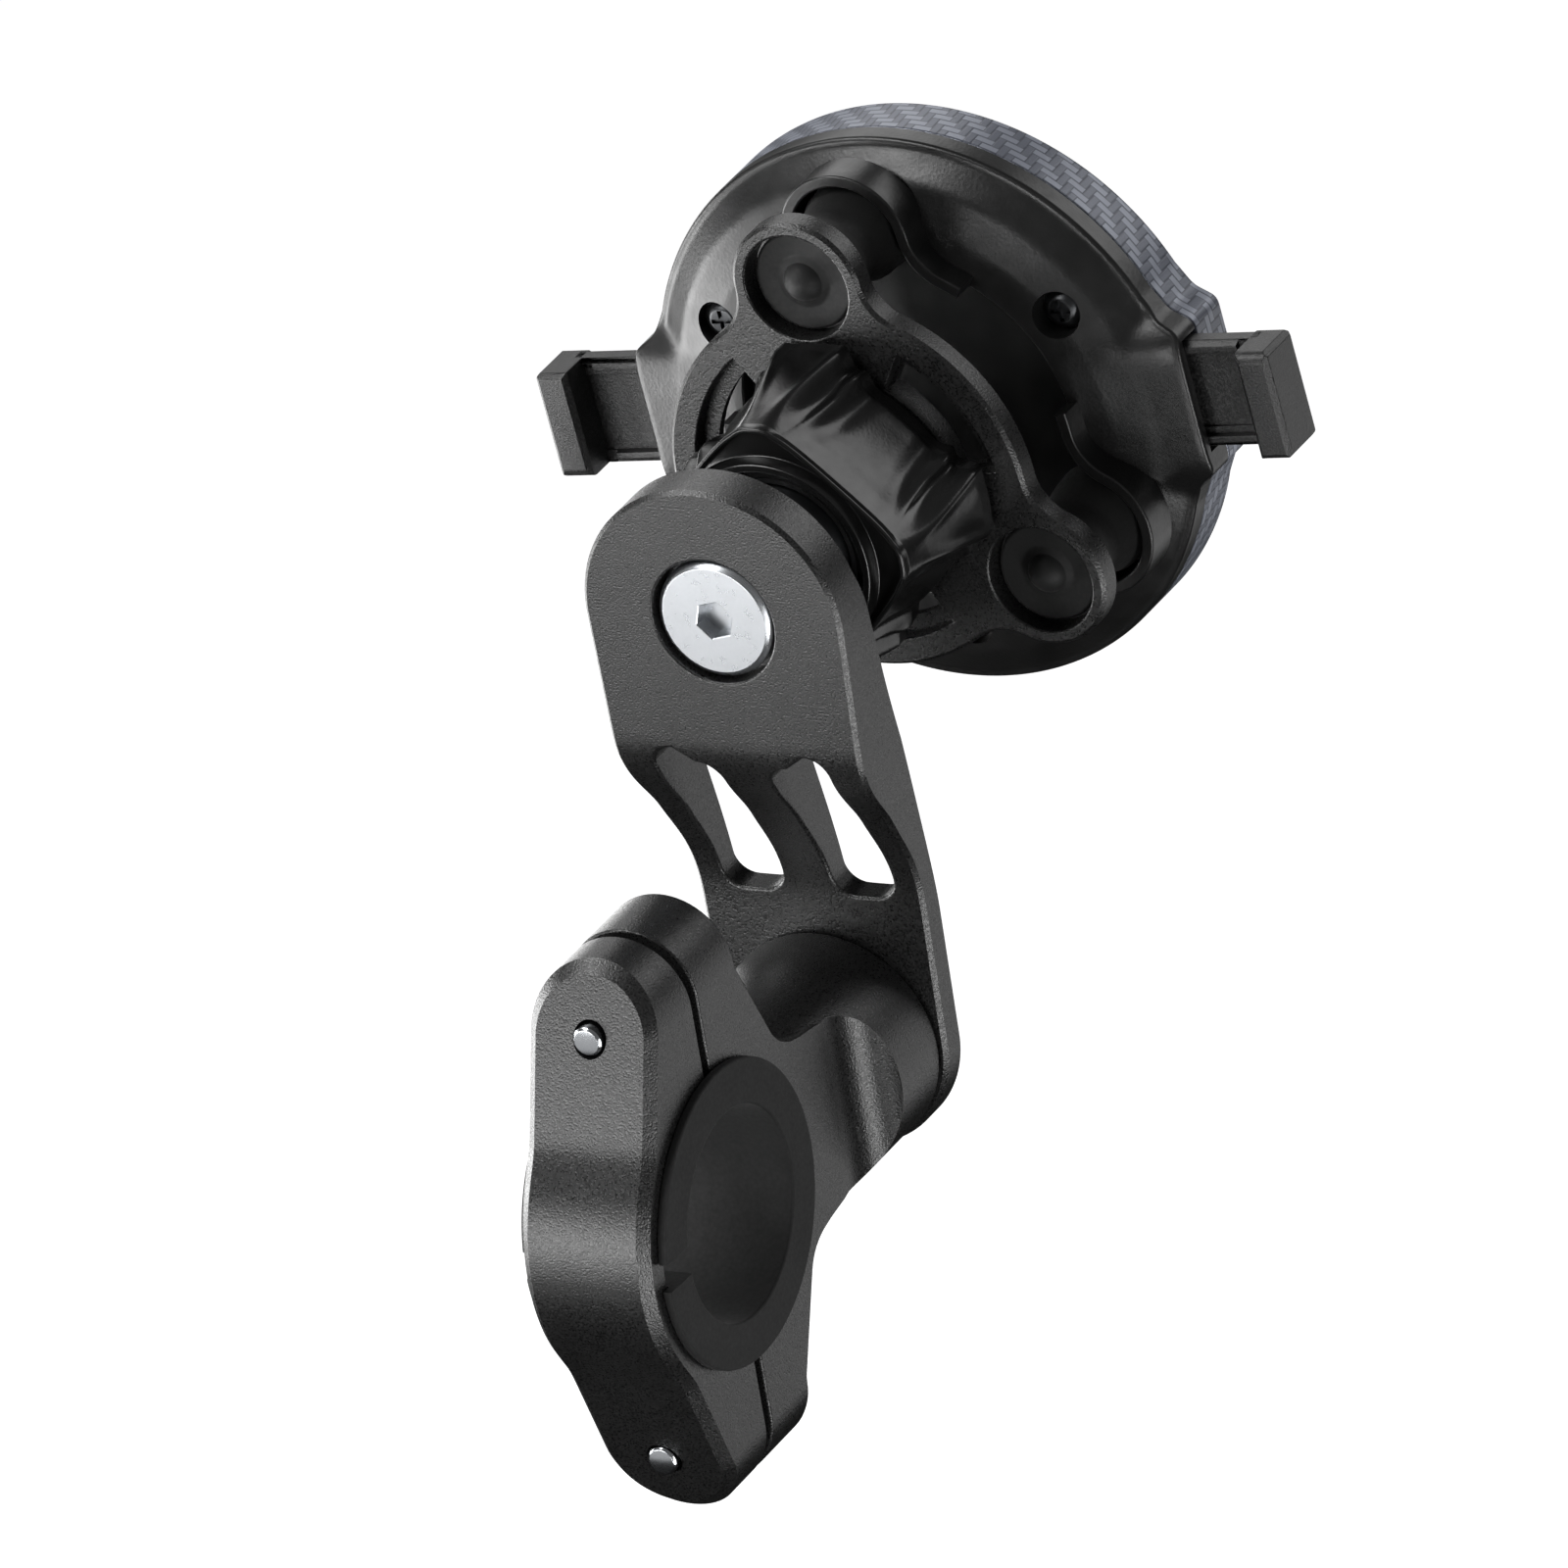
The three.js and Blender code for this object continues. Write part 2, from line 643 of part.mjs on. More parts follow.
function frontPad() {
  const y0 = FACE_Y - 0.3;
  const y1 = FACE_Y + 0.7;
  return turned(
    [
      [0, y0],
      [19, y0],
      [19, y1 - 0.3],
      [18.7, y1],
      [0, y1],
    ],
    48,
  );
}

// ---------- jaws ----------

// The rack's bar, its teeth facing down onto the pinion; a gap between teeth is over the axle at rest.
function rackTeeth() {
  const pitch = (2 * Math.PI * PITCH_R) / TEETH;
  const count = 26;
  const x0 = (-pitch * count) / 2;
  const line = JAW_MID + PITCH_R;
  const back = line + 1.25;
  const shape = new THREE.Shape();
  shape.moveTo(x0, back);
  shape.lineTo(x0, line + TOOTH);
  for (let i = 0; i < count; i++) {
    const x = x0 + (i + 0.5) * pitch;
    shape.lineTo(x - 0.44, line + TOOTH + 0.12);
    shape.lineTo(x - 0.18, line - TOOTH);
    shape.lineTo(x + 0.18, line - TOOTH);
    shape.lineTo(x + 0.44, line + TOOTH + 0.12);
  }
  shape.lineTo(-x0 + 0.8, line + TOOTH);
  shape.lineTo(-x0 + 0.8, back);
  shape.closePath();
  return plate(shape, JAW_Y0 + 0.6, JAW_Y1);
}

// The thick end of a jaw, which a finger pushes or pulls.
function jawBlock() {
  const shape = new THREE.Shape();
  shape.moveTo(BLOCK_X0 + BLOCK_EDGE, BLOCK_Y);
  shape.lineTo(BLOCK_X1 - BLOCK_EDGE, BLOCK_Y);
  shape.lineTo(BLOCK_X1, BLOCK_Y + BLOCK_EDGE);
  shape.lineTo(BLOCK_X1, BLOCK_Y1 - BLOCK_EDGE);
  shape.lineTo(BLOCK_X1 - BLOCK_EDGE, BLOCK_Y1);
  shape.lineTo(BLOCK_X0, BLOCK_Y1);
  shape.lineTo(BLOCK_X0, BLOCK_Y + BLOCK_EDGE);
  shape.closePath();
  return slab(shape, JAW_LOW, JAW_HIGH);
}

// The right jaw; the left one is this turned half round about the pinion's axis.
function jaw() {
  const y0 = JAW_Y0;
  const channel = box(21.4, BLOCK_X0 + 1, y0, JAW_Y1, JAW_LOW, JAW_HIGH);
  const hollow = box(20, BLOCK_X0, y0 - 1, JAW_Y1 - 1.2, JAW_LOW + 1.3, JAW_HIGH - 1.3);
  const block = jawBlock();
  const finger = box(FINGER_X0, FINGER_X1, JAW_Y1 - 0.5, FINGER_Y, JAW_LOW, 2);
  const lip = box(FINGER_X0 - 1, FINGER_X1, FINGER_Y - 1.4, FINGER_Y, JAW_LOW, 2);
  const rack = rackTeeth();
  const link = box(18, 23, y0 + 0.6, JAW_Y1, JAW_MID + PITCH_R + TOOTH, JAW_MID + PITCH_R + 1.25);
  return join(channel.subtract(hollow), block, finger, lip, rack, link);
}

function fingerPad() {
  return box(FINGER_X0 - GAP - 0.6, FINGER_X0 - GAP, FACE_Y + 1.1, FINGER_Y - 1.7, JAW_LOW + 0.6, 1.4);
}

function pinion() {
  const shape = new THREE.Shape();
  for (let i = 0; i < TEETH; i++) {
    const at = (2 * Math.PI * i) / TEETH;
    for (const [radius, turn] of [
      [PITCH_R - TOOTH - 0.12, -0.17],
      [PITCH_R + TOOTH, -0.06],
      [PITCH_R + TOOTH, 0.06],
      [PITCH_R - TOOTH - 0.12, 0.17],
    ]) {
      const x = radius * Math.cos(at + turn);
      const z = radius * Math.sin(at + turn);
      if (i === 0 && turn < -0.1) shape.moveTo(x, z);
      else shape.lineTo(x, z);
    }
  }
  shape.closePath();
  const gear = plate(shape, JAW_Y0 + 0.5, JAW_Y1);
  return gear.subtract(rod(1.1 + 0.08, 60, 90, 0, 0, 20)).translate([0, 0, JAW_MID]);
}

class Helix extends THREE.Curve {
  constructor(radius, turns, y0, y1) {
    super();
    Object.assign(this, { radius, turns, y0, y1 });
  }
  getPoint(t) {
    const a = 2 * Math.PI * this.turns * t;
    const y = this.y0 + (this.y1 - this.y0) * t;
    return new THREE.Vector3(this.radius * Math.cos(a), y, this.radius * Math.sin(a));
  }
}

// Torsion spring round the pinion's axle, which draws the jaws together.
function pinionSpring() {
  const turns = 3;
  const path = new Helix(2.1, turns, JAW_Y1 + 0.75, 80.7);
  const wire = new THREE.Shape().absarc(0, 0, 0.3, 0, 2 * Math.PI);
  const options = { steps: turns * 14, curveSegments: 3, extrudePath: path };
  return solid(new THREE.ExtrudeGeometry(wire, options)).translate([0, 0, JAW_MID]);
}

// ---------- assembly ----------

const mount = new THREE.Group();

part(mount, "clamp_cap", clampCap(), blackMetal);
part(mount, "clamp_base", clampBase(), blackMetal);
part(mount, "rubber_sleeve", rubberSleeve(), rubber);
part(mount, "clamp_screw_upper", clampScrew(EAR_Z), steel);
part(mount, "clamp_screw_lower", clampScrew(-EAR_Z), steel);

part(mount, "arm_bracket", armBracket(), blackMetal);
const pivotBolt = lowBolt(5, -FOOT_REAR - 2.9, 2.2, 2.6, -24, 3).rotate([0, 0, 180]);
part(mount, "pivot_bolt", pivotBolt, steel);
const washer = rod(6.4, 0, 0.5).subtract(rod(2.9, -1, 2, 0, 0, 24));
part(mount, "pivot_washer", washer.translate([0, FOOT_REAR + 0.1, 0]), steel);

const joint = new THREE.Group();
joint.position.z = ARM_Z;
mount.add(joint);
part(joint, "arm_bolt", lowBolt(HEAD_R, 28.1, 2.2, 2.8, 44, 4), steel);
const stemWasher = rod(6.4, 0, 0.8).subtract(rod(3.1, -1, 2, 0, 0, 24));
part(joint, "stem_washer", stemWasher.translate([0, ARM_REAR + 0.15, 0]), steel);
part(joint, "ball_stem", ballStem(), steel);
part(joint, "ball_seat", ballSeat(), rubber);
part(joint, "ball_socket", ballSocket(), blackPlastic);
part(joint, "lock_nut", lockNut(), glossBlack);

const holder = new THREE.Group();
holder.position.z = ARM_Z;
holder.rotation.y = -SPIN;
mount.add(holder);
part(holder, "damper_plate", damperPlate(), blackMetal);
LOBES.forEach((at, i) => {
  part(holder, `grommet_${i + 1}`, grommet(at), rubber);
  part(holder, `grommet_pin_${i + 1}`, grommetPin(at), steel);
});
part(holder, "back_cover", backCover(), blackPlastic);
SCREWS.forEach((at, i) => part(holder, `cover_screw_${i + 1}`, coverScrew(at), steel));
part(holder, "front_housing", frontHousing(), carbon);
part(holder, "front_pad", frontPad(), rubber);
part(holder, "jaw_right", jaw(), blackPlastic);
part(holder, "jaw_left", halfTurn(jaw()), blackPlastic);
part(holder, "finger_pad_right", fingerPad(), rubber);
part(holder, "finger_pad_left", halfTurn(fingerPad()), rubber);
part(holder, "pinion_gear", pinion(), brass);
part(holder, "pinion_axle", rod(1.1, DOME_Y + 1.3, FACE_Y - 2.2, 0, JAW_MID, 20), steel);
part(holder, "pinion_spring", pinionSpring(), steel);

export default mount;
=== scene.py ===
"""Looks of a handlebar phone mount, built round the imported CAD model.

Pieces are modelled in millimetres in the frame of the CAD part and scaled to metres when they are placed.
"""

import math

import bmesh
import bpy
import numpy as np
from mathutils import Matrix, Vector


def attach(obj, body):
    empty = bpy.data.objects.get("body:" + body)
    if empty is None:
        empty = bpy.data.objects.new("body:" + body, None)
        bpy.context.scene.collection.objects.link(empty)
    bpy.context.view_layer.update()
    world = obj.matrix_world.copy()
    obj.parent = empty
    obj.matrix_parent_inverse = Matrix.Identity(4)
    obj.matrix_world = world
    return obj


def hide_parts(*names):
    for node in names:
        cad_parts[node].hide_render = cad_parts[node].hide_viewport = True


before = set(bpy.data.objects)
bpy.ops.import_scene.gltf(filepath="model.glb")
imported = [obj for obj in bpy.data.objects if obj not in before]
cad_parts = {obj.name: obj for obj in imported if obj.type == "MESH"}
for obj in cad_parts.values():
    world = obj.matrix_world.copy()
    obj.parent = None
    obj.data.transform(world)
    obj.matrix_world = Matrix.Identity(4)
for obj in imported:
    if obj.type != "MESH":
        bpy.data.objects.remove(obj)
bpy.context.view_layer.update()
MM = 0.001

# ---------- dimensions in millimetres ----------
# They are the CAD part's, except HEAD_R and NECK_R, which are a little larger here.

GAP = 0.3
BAR_R = 11.1
SLEEVE_R = 14.5
FLANGE_R = 15.85
CLAMP_HALF = 7.25
SPLIT = 0.6
EAR_Z = 23.8
EAR_R = CLAMP_HALF
CAP_EAR_Y = -9.2
CAP_SLOPE = 0.38
BASE_EAR_Y = 8.9
CLAMP_R = 18.2
SCREW_R = 1.6
SCREW_HEAD_R = 3.4
PIVOT_R = 2.9
BOSS_R = 12
BOSS_Y = 37.2
ARM_Z = 51.9
ARM_FRONT = 27.8
ARM_REAR = 33.4
FOOT_FRONT = 37.5
FOOT_REAR = 41
ARM_TOP_R = 14.65
FOOT_R = 12.6
HEAD_R = 6.4
BALL_Y = 47
BALL_R = 8.6
NECK_R = 6.2
MOUTH_Y = 42.4
SOCKET_R = 11.2
NUT_Y = 41.2
NUT_END = 57.6
SPIN = math.radians(5.9)
PLATE_Y = 58.5
PLATE_T = 3
LOBE_AT = 22.2
LOBE_R = 7.3
LOBE_HOLE_R = 5.8
LOBES = [90, 210, 330]
PLATE_R = 20.3
FILLET_R = 5.5
SCREWS = [30, 150, 270]
SCREW_AT = 23
DISC_R = 30.6
BOSS_X = 32.1
BOSS_HALF = 8.4
WALL_Y = 69.5
DOME_Y = 72.4
RIM_Y = 76.2
JOIN_Y = 78.6
FACE_Y = 84.9
JAW_LOW = -5.2
JAW_HIGH = 6.7
JAW_MID = (JAW_LOW + JAW_HIGH) / 2
JAW_Y0 = 75.9
JAW_Y1 = 78.1
BLOCK_Y = 72.6
BLOCK_Y1 = 78.9
BLOCK_X0 = 39.3
BLOCK_X1 = 43.1
FINGER_X0 = 22.5
FINGER_X1 = 25.1
FINGER_Y = 93
RACK_Z = 3

ORIGIN = Matrix.Identity(4)
JOINT = Matrix.Translation((0, 0, ARM_Z))
HOLDER = JOINT @ Matrix.Rotation(-SPIN, 4, "Y")

# ---------- flat outlines ----------


def arc(cx, cy, radius, start, end, steps):
    """Points of an arc, angles in degrees."""
    angles = [math.radians(start + (end - start) * i / steps) for i in range(steps + 1)]
    return [(cx + radius * math.cos(a), cy + radius * math.sin(a)) for a in angles]


def circle(radius, cx=0, cy=0, steps=64):
    return arc(cx, cy, radius, 0, 360, steps)[:-1]


def bezier(p0, p1, p2, p3, steps=12):
    points = []
    for i in range(steps + 1):
        t = i / steps
        w = ((1 - t) ** 3, 3 * t * (1 - t) ** 2, 3 * t * t * (1 - t), t**3)
        points.append(tuple(sum(k * p[j] for k, p in zip(w, (p0, p1, p2, p3))) for j in (0, 1)))
    return points


def stadium(radius, low, high, steps=32):
    return arc(0, high, radius, 0, 180, steps) + arc(0, low, radius, 180, 360, steps)


def rounded(points, radius, steps=4, closed=True):
    """An outline with its corners rounded; radius is one number, or one for each corner."""
    made = []
    count = len(points)
    for i, point in enumerate(points):
        r = radius[i] if isinstance(radius, (list, tuple)) else radius
        if r <= 0 or (not closed and i in (0, count - 1)):
            made.append(tuple(point))
            continue
        p = Vector(point)
        to_last = Vector(points[i - 1]) - p
        to_next = Vector(points[(i + 1) % count]) - p
        angle = to_last.angle(to_next)
        if angle > math.radians(177):
            made.append(tuple(point))
            continue
        along = min(r / math.tan(angle / 2), to_last.length * 0.49, to_next.length * 0.49)
        r = along * math.tan(angle / 2)
        middle = (to_last.normalized() + to_next.normalized()).normalized()
        centre = p + middle * (r / math.sin(angle / 2))
        start = p + to_last.normalized() * along - centre
        end = p + to_next.normalized() * along - centre
        turn = math.pi - angle
        for k in range(steps + 1):
            t = k / steps
            spot = centre + (start * math.sin((1 - t) * turn) + end * math.sin(t * turn)) / math.sin(turn)
            made.append(tuple(spot))
    return made


def grown(points, by):
    """An outline moved outwards by a distance, or inwards if it is negative."""
    p = np.array(points, float)
    area = np.sum(p[:, 0] * np.roll(p[:, 1], -1) - p[:, 1] * np.roll(p[:, 0], -1))
    edge = np.roll(p, -1, 0) - p
    edge /= np.maximum(np.linalg.norm(edge, axis=1), 1e-9)[:, None]
    normal = np.stack([edge[:, 1], -edge[:, 0]], 1) * (1 if area > 0 else -1)
    before = np.roll(normal, 1, 0)
    both = normal + before
    scale = np.maximum(1 + np.sum(normal * before, 1), 0.3)
    return [tuple(q) for q in p + both / scale[:, None] * by]


def lobed(disc_r, lobe_r, fillet_r, steps=10):
    """A disc with a round lobe in each direction and a fillet on each side of it."""
    reach = disc_r + fillet_r
    turn = math.acos(
        (reach**2 + LOBE_AT**2 - (lobe_r + fillet_r) ** 2) / (2 * LOBE_AT * reach)
    )
    points = []
    for degrees in LOBES:
        at = math.radians(degrees)
        lobe = Vector((LOBE_AT * math.cos(at), LOBE_AT * math.sin(at)))
        sides = [Vector((reach * math.cos(at + s * turn), reach * math.sin(at + s * turn))) for s in (-1, 1)]
        to_lobe, from_lobe = [
            math.degrees(math.atan2(lobe.y - s.y, lobe.x - s.x)) for s in sides
        ]
        points += swing(sides[0], fillet_r, degrees - math.degrees(turn) + 180, to_lobe, -1, steps)
        points += swing(lobe, lobe_r, to_lobe + 180, from_lobe + 180, 1, steps * 3)
        points += swing(sides[1], fillet_r, from_lobe, degrees + math.degrees(turn) + 180, -1, steps)
        rim = degrees + math.degrees(turn)
        points += arc(0, 0, disc_r, rim, rim + 120 - 2 * math.degrees(turn), steps * 2)[1:-1]
    return points


def swing(centre, radius, start, end, way, steps):
    """An arc from one angle to another, turning the given way by less than a full turn."""
    sweep = (end - start) * way % 360
    return arc(centre.x, centre.y, radius, start, start + way * sweep, steps)[:-1]


def sector(inner, outer, at, half, steps=16):
    return arc(0, 0, outer, at - half, at + half, steps) + arc(0, 0, inner, at + half, at - half, steps)


def around(radius, degrees):
    a = math.radians(degrees)
    return radius * math.cos(a), radius * math.sin(a)


def holder_outline():
    """The holder's disc, with a flat-ended boss on each side."""
    start = math.degrees(math.asin((BOSS_HALF + 3.4) / DISC_R))
    half = []
    half += arc(0, 0, DISC_R, start, 180 - start, 110)
    flank = [
        half[-1],
        (-BOSS_X + 2.4, BOSS_HALF + 0.9),
        (-BOSS_X, BOSS_HALF - 0.6),
        (-BOSS_X, -BOSS_HALF + 0.6),
        (-BOSS_X + 2.4, -BOSS_HALF - 0.9),
        (half[-1][0], -half[-1][1]),
    ]
    flank = rounded(flank, [0, 2.4, 1.6, 1.6, 2.4, 0], 6, closed=False)
    flank = dense(flank, 0.5)
    half += flank[1:-1]
    return half + [(-x, -z) for x, z in half]


def dense(points, step):
    """An open line with points added so that none are further apart than step."""
    made = [points[0]]
    for a, b in zip(points, points[1:]):
        count = max(1, math.ceil(math.dist(a, b) / step))
        for i in range(1, count + 1):
            made.append((a[0] + (b[0] - a[0]) * i / count, a[1] + (b[1] - a[1]) * i / count))
    return made


# ---------- solids ----------

AXES = {
    "front": lambda a, b, depth: (a, depth, b),
    "side": lambda a, b, depth: (depth, a, b),
    "top": lambda a, b, depth: (a, b, depth),
}


def loft(rings, closed=False, name="piece"):
    """A skin over rings of the same number of points, with flat ends or joined end to end."""
    count = len(rings[0])
    mesh = bpy.data.meshes.new(name)
    verts = [p for ring in rings for p in ring]
    faces = []
    for i in range(len(rings) if closed else len(rings) - 1):
        a = i * count
        b = (i + 1) % len(rings) * count
        faces += [(a + j, a + (j + 1) % count, b + (j + 1) % count, b + j) for j in range(count)]
    if not closed:
        faces.append(tuple(range(count)))
        faces.append(tuple(range(len(verts) - count, len(verts))))
    mesh.from_pydata(verts, [], faces)
    bm = bmesh.new()
    bm.from_mesh(mesh)
    bmesh.ops.remove_doubles(bm, verts=bm.verts, dist=1e-4)
    bmesh.ops.dissolve_degenerate(bm, edges=bm.edges, dist=1e-5)
    bmesh.ops.recalc_face_normals(bm, faces=bm.faces)
    bm.to_mesh(mesh)
    bm.free()
    ob = bpy.data.objects.new(name, mesh)
    bpy.context.scene.collection.objects.link(ob)
    return ob


def edge_steps(edge, steps):
    """How far in and how deep each point of a broken edge is: a rounding, or with one step a flat chamfer."""
    if not edge:
        return [(0, 0)]
    if steps == 1:
        return [(edge, 0), (0, edge)]
    angles = [math.pi / 2 * k / steps for k in range(steps + 1)]
    return [(edge * (1 - math.sin(a)), edge * (1 - math.cos(a))) for a in angles]


def prism(outline, low, high, view="front", low_edge=0.0, high_edge=0.0, steps=3):
    """A flat shape with some thickness and rounded edges; steps of 1 makes chamfers instead."""
    rings = [(inset, low + depth) for inset, depth in edge_steps(low_edge, steps)]
    rings += [(inset, high - depth) for inset, depth in reversed(edge_steps(high_edge, steps))]
    axes = AXES[view]
    return loft([[axes(a, b, depth) for a, b in grown(outline, -inset)] for inset, depth in rings])


def hole(outline, low, high, low_edge=None, high_edge=None, view="front", steps=3):
    """A cutter that leaves rounded edges: each end is blind if its edge is None."""
    rings = []
    if low_edge is None:
        rings.append((0, low))
    else:
        rings.append((low_edge, low - 3))
        for k in range(steps + 1):
            t = k / steps * math.pi / 2
            rings.append((low_edge * (1 - math.sin(t)), low + low_edge * (1 - math.cos(t))))
    if high_edge is None:
        rings.append((0, high))
    else:
        for k in range(steps + 1):
            t = (1 - k / steps) * math.pi / 2
            rings.append((high_edge * (1 - math.sin(t)), high - high_edge * (1 - math.cos(t))))
        rings.append((high_edge, high + 3))
    axes = AXES[view]
    return loft([[axes(a, b, depth) for a, b in grown(outline, out)] for out, depth in rings])


def box(x0, x1, y0, y1, z0, z1, edge=0.0, steps=2):
    ob = prism([(x0, z0), (x1, z0), (x1, z1), (x0, z1)], y0, y1)
    if edge:
        bevel(ob, edge, steps)
        applied(ob)
    return ob


def turned(profile, sides=96, radius=0.0, steps=4, axis="Y", at=(0, 0)):
    """A profile of (r, y) points turned about Y, or about X, its corners rounded."""
    closed = all(r > 1e-6 for r, _ in profile)
    if radius:
        profile = rounded(profile, radius, steps, closed)
    rings = []
    for r, y in profile:
        ring = circle(max(r, 1e-7), steps=sides)
        if axis == "Y":
            rings.append([(a + at[0], y, b + at[1]) for a, b in ring])
        else:
            rings.append([(y, a, b) for a, b in ring])
    if closed:
        return loft(rings, closed=True)
    return loft(rings)


def applied(ob):
    graph = bpy.context.evaluated_depsgraph_get()
    mesh = bpy.data.meshes.new_from_object(ob.evaluated_get(graph))
    old = ob.data
    ob.modifiers.clear()
    ob.data = mesh
    bpy.data.meshes.remove(old)
    return ob


def combine(ob, operation, tools):
    for tool in tools:
        modifier = ob.modifiers.new("combine", "BOOLEAN")
        modifier.operation = operation
        modifier.object = tool
        modifier.solver = "MANIFOLD"
    applied(ob)
    for tool in tools:
        bpy.data.objects.remove(tool)
    return ob


def cut(ob, *tools):
    return combine(ob, "DIFFERENCE", tools)


def united(ob, *tools):
    return combine(ob, "UNION", tools)


def common(ob, *tools):
    return combine(ob, "INTERSECT", tools)


def bevel(ob, width, steps=2, angle=30):
    modifier = ob.modifiers.new("bevel", "BEVEL")
    modifier.width = width
    modifier.segments = steps
    modifier.limit_method = "ANGLE"
    modifier.angle_limit = math.radians(angle)
    modifier.use_clamp_overlap = False


def moved(ob, matrix):
    ob.data.transform(matrix)
    return ob


def half_turn():
    middle = Matrix.Translation((0, 0, JAW_MID))
    return middle @ Matrix.Rotation(math.pi, 4, "Y") @ middle.inverted()


def merged(*obs):
    """Several closed shells as one piece."""
    bm = bmesh.new()
    for ob in obs:
        bm.from_mesh(ob.data)
    for ob in obs[1:]:
        bpy.data.objects.remove(ob)
    bm.to_mesh(obs[0].data)
    bm.free()
    return obs[0]


def warp(ob, heights, front, back, depth, edge):
    """Bends a flat plate, y from 0 to depth, between two profiles that depend on height."""
    kept = edge + 0.13
    bm = bmesh.new()
    bm.from_mesh(ob.data)
    for z in heights:
        geometry = bm.verts[:] + bm.edges[:] + bm.faces[:]
        bmesh.ops.bisect_plane(bm, geom=geometry, plane_co=(0, 0, z), plane_no=(0, 0, 1), dist=1e-4)
    for v in bm.verts:
        y, z = v.co.y, v.co.z
        low, high = front(z), back(z)
        if y <= kept:
            v.co.y = low + y
        elif y >= depth - kept:
            v.co.y = high - (depth - y)
        else:
            v.co.y = low + (high - low) * y / depth
    bm.to_mesh(ob.data)
    bm.free()
    return ob


def profile_of(points):
    """A function of height from a line of (y, z) points."""
    line = np.array(sorted(points, key=lambda p: p[1]), float)
    return lambda z: float(np.interp(z, line[:, 1], line[:, 0]))


def place(ob, name, body, material, matrix=ORIGIN, stands_for=(), smooth=32):
    """Moves a piece from millimetres into the frame and lets it ride on its body."""
    ob.name = name
    ob.data.name = name
    ob.data.transform(Matrix.Scale(MM, 4) @ matrix)
    ob.data.shade_smooth()
    ob.data.set_sharp_from_angle(angle=math.radians(smooth))
    normals = ob.modifiers.new("normals", "WEIGHTED_NORMAL")
    normals.keep_sharp = True
    ob.data.materials.clear()
    ob.data.materials.append(material)
    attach(ob, body)
    if stands_for:
        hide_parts(*stands_for)
    return ob


# ---------- materials ----------


class Shader:
    """Builds one procedural material. Sizes are in millimetres."""

    def __init__(self, name):
        self.material = bpy.data.materials.new(name)
        self.material.use_nodes = True
        self.nodes = self.material.node_tree.nodes
        self.links = self.material.node_tree.links
        self.main = self.nodes["Principled BSDF"]
        self.place = self.nodes.new("ShaderNodeTexCoord").outputs["Object"]

    def set(self, **values):
        for key, value in values.items():
            socket = self.main.inputs[key.replace("_", " ").title().replace("Ior", "IOR")]
            if isinstance(value, bpy.types.NodeSocket):
                self.links.new(value, socket)
            else:
                socket.default_value = value
        return self

    def node(self, kind, inputs=(), **settings):
        made = self.nodes.new("ShaderNode" + kind)
        for key, value in settings.items():
            setattr(made, key, value)
        for key, value in dict(inputs).items():
            if isinstance(value, bpy.types.NodeSocket):
                self.links.new(value, made.inputs[key])
            else:
                made.inputs[key].default_value = value
        return made

    def noise(self, size, detail=3, roughness=0.55):
        values = {"Vector": self.place, "Scale": 1000 / size, "Detail": detail, "Roughness": roughness}
        return self.node("TexNoise", values).outputs["Fac"]

    def cells(self, size):
        values = {"Vector": self.place, "Scale": 1000 / size}
        return self.node("TexVoronoi", values).outputs["Distance"]

    def ramp(self, value, low, high, at=(0.3, 0.7)):
        made = self.node("ValToRGB", {"Fac": value})
        for element, where, colour in zip(made.color_ramp.elements, at, (low, high)):
            element.position = where
            element.color = colour
        return made.outputs["Color"]

    def spread(self, value, low, high, at=(0.3, 0.7)):
        values = {"Value": value, "From Min": at[0], "From Max": at[1], "To Min": low, "To Max": high}
        return self.node("MapRange", values).outputs["Result"]

    def sum(self, a, b, share=0.5):
        values = {0: a, 1: share, 2: 0.0}
        scaled = self.node("Math", values, operation="MULTIPLY_ADD").outputs[0]
        other = self.node("Math", {0: b, 1: 1 - share, 2: scaled}, operation="MULTIPLY_ADD")
        return other.outputs[0]

    def bump(self, height, depth, strength):
        values = {"Height": height, "Distance": depth * MM, "Strength": strength}
        return self.node("Bump", values).outputs["Normal"]


def grey(value):
    return (value, value, value, 1)


def black_metal():
    """Blasted and anodised aluminium: fine grain, soft gloss."""
    s = Shader("black_metal")
    grain = s.noise(0.2, 1, 0.5)
    clouds = s.noise(9, 3)
    s.set(
        base_color=s.ramp(s.sum(grain, clouds, 0.75), grey(0.003), grey(0.015), (0.35, 0.65)),
        roughness=s.spread(grain, 0.24, 0.42),
        normal=s.bump(grain, 0.05, 1.0),
        specular_ior_level=0.6,
    )
    return s.material


def cover_plastic():
    """Moulded plastic with a fine leather-like grain and a soft sheen."""
    s = Shader("cover_plastic")
    grain = s.sum(s.cells(0.42), s.noise(0.3, 2), 0.6)
    s.set(
        base_color=s.ramp(s.noise(7, 3), grey(0.006), grey(0.0105)),
        roughness=s.spread(s.noise(2.4, 3), 0.28, 0.38),
        normal=s.bump(grain, 0.03, 0.5),
        specular_ior_level=0.55,
    )
    return s.material


def jaw_plastic():
    """Sparkly spark-eroded plastic."""
    s = Shader("jaw_plastic")
    grain = s.noise(0.22, 2, 0.7)
    s.set(
        base_color=s.ramp(grain, grey(0.008), grey(0.05), (0.45, 0.8)),
        roughness=s.spread(grain, 0.3, 0.5),
        normal=s.bump(s.sum(grain, s.noise(0.6, 2), 0.7), 0.07, 0.8),
        specular_ior_level=0.55,
    )
    return s.material


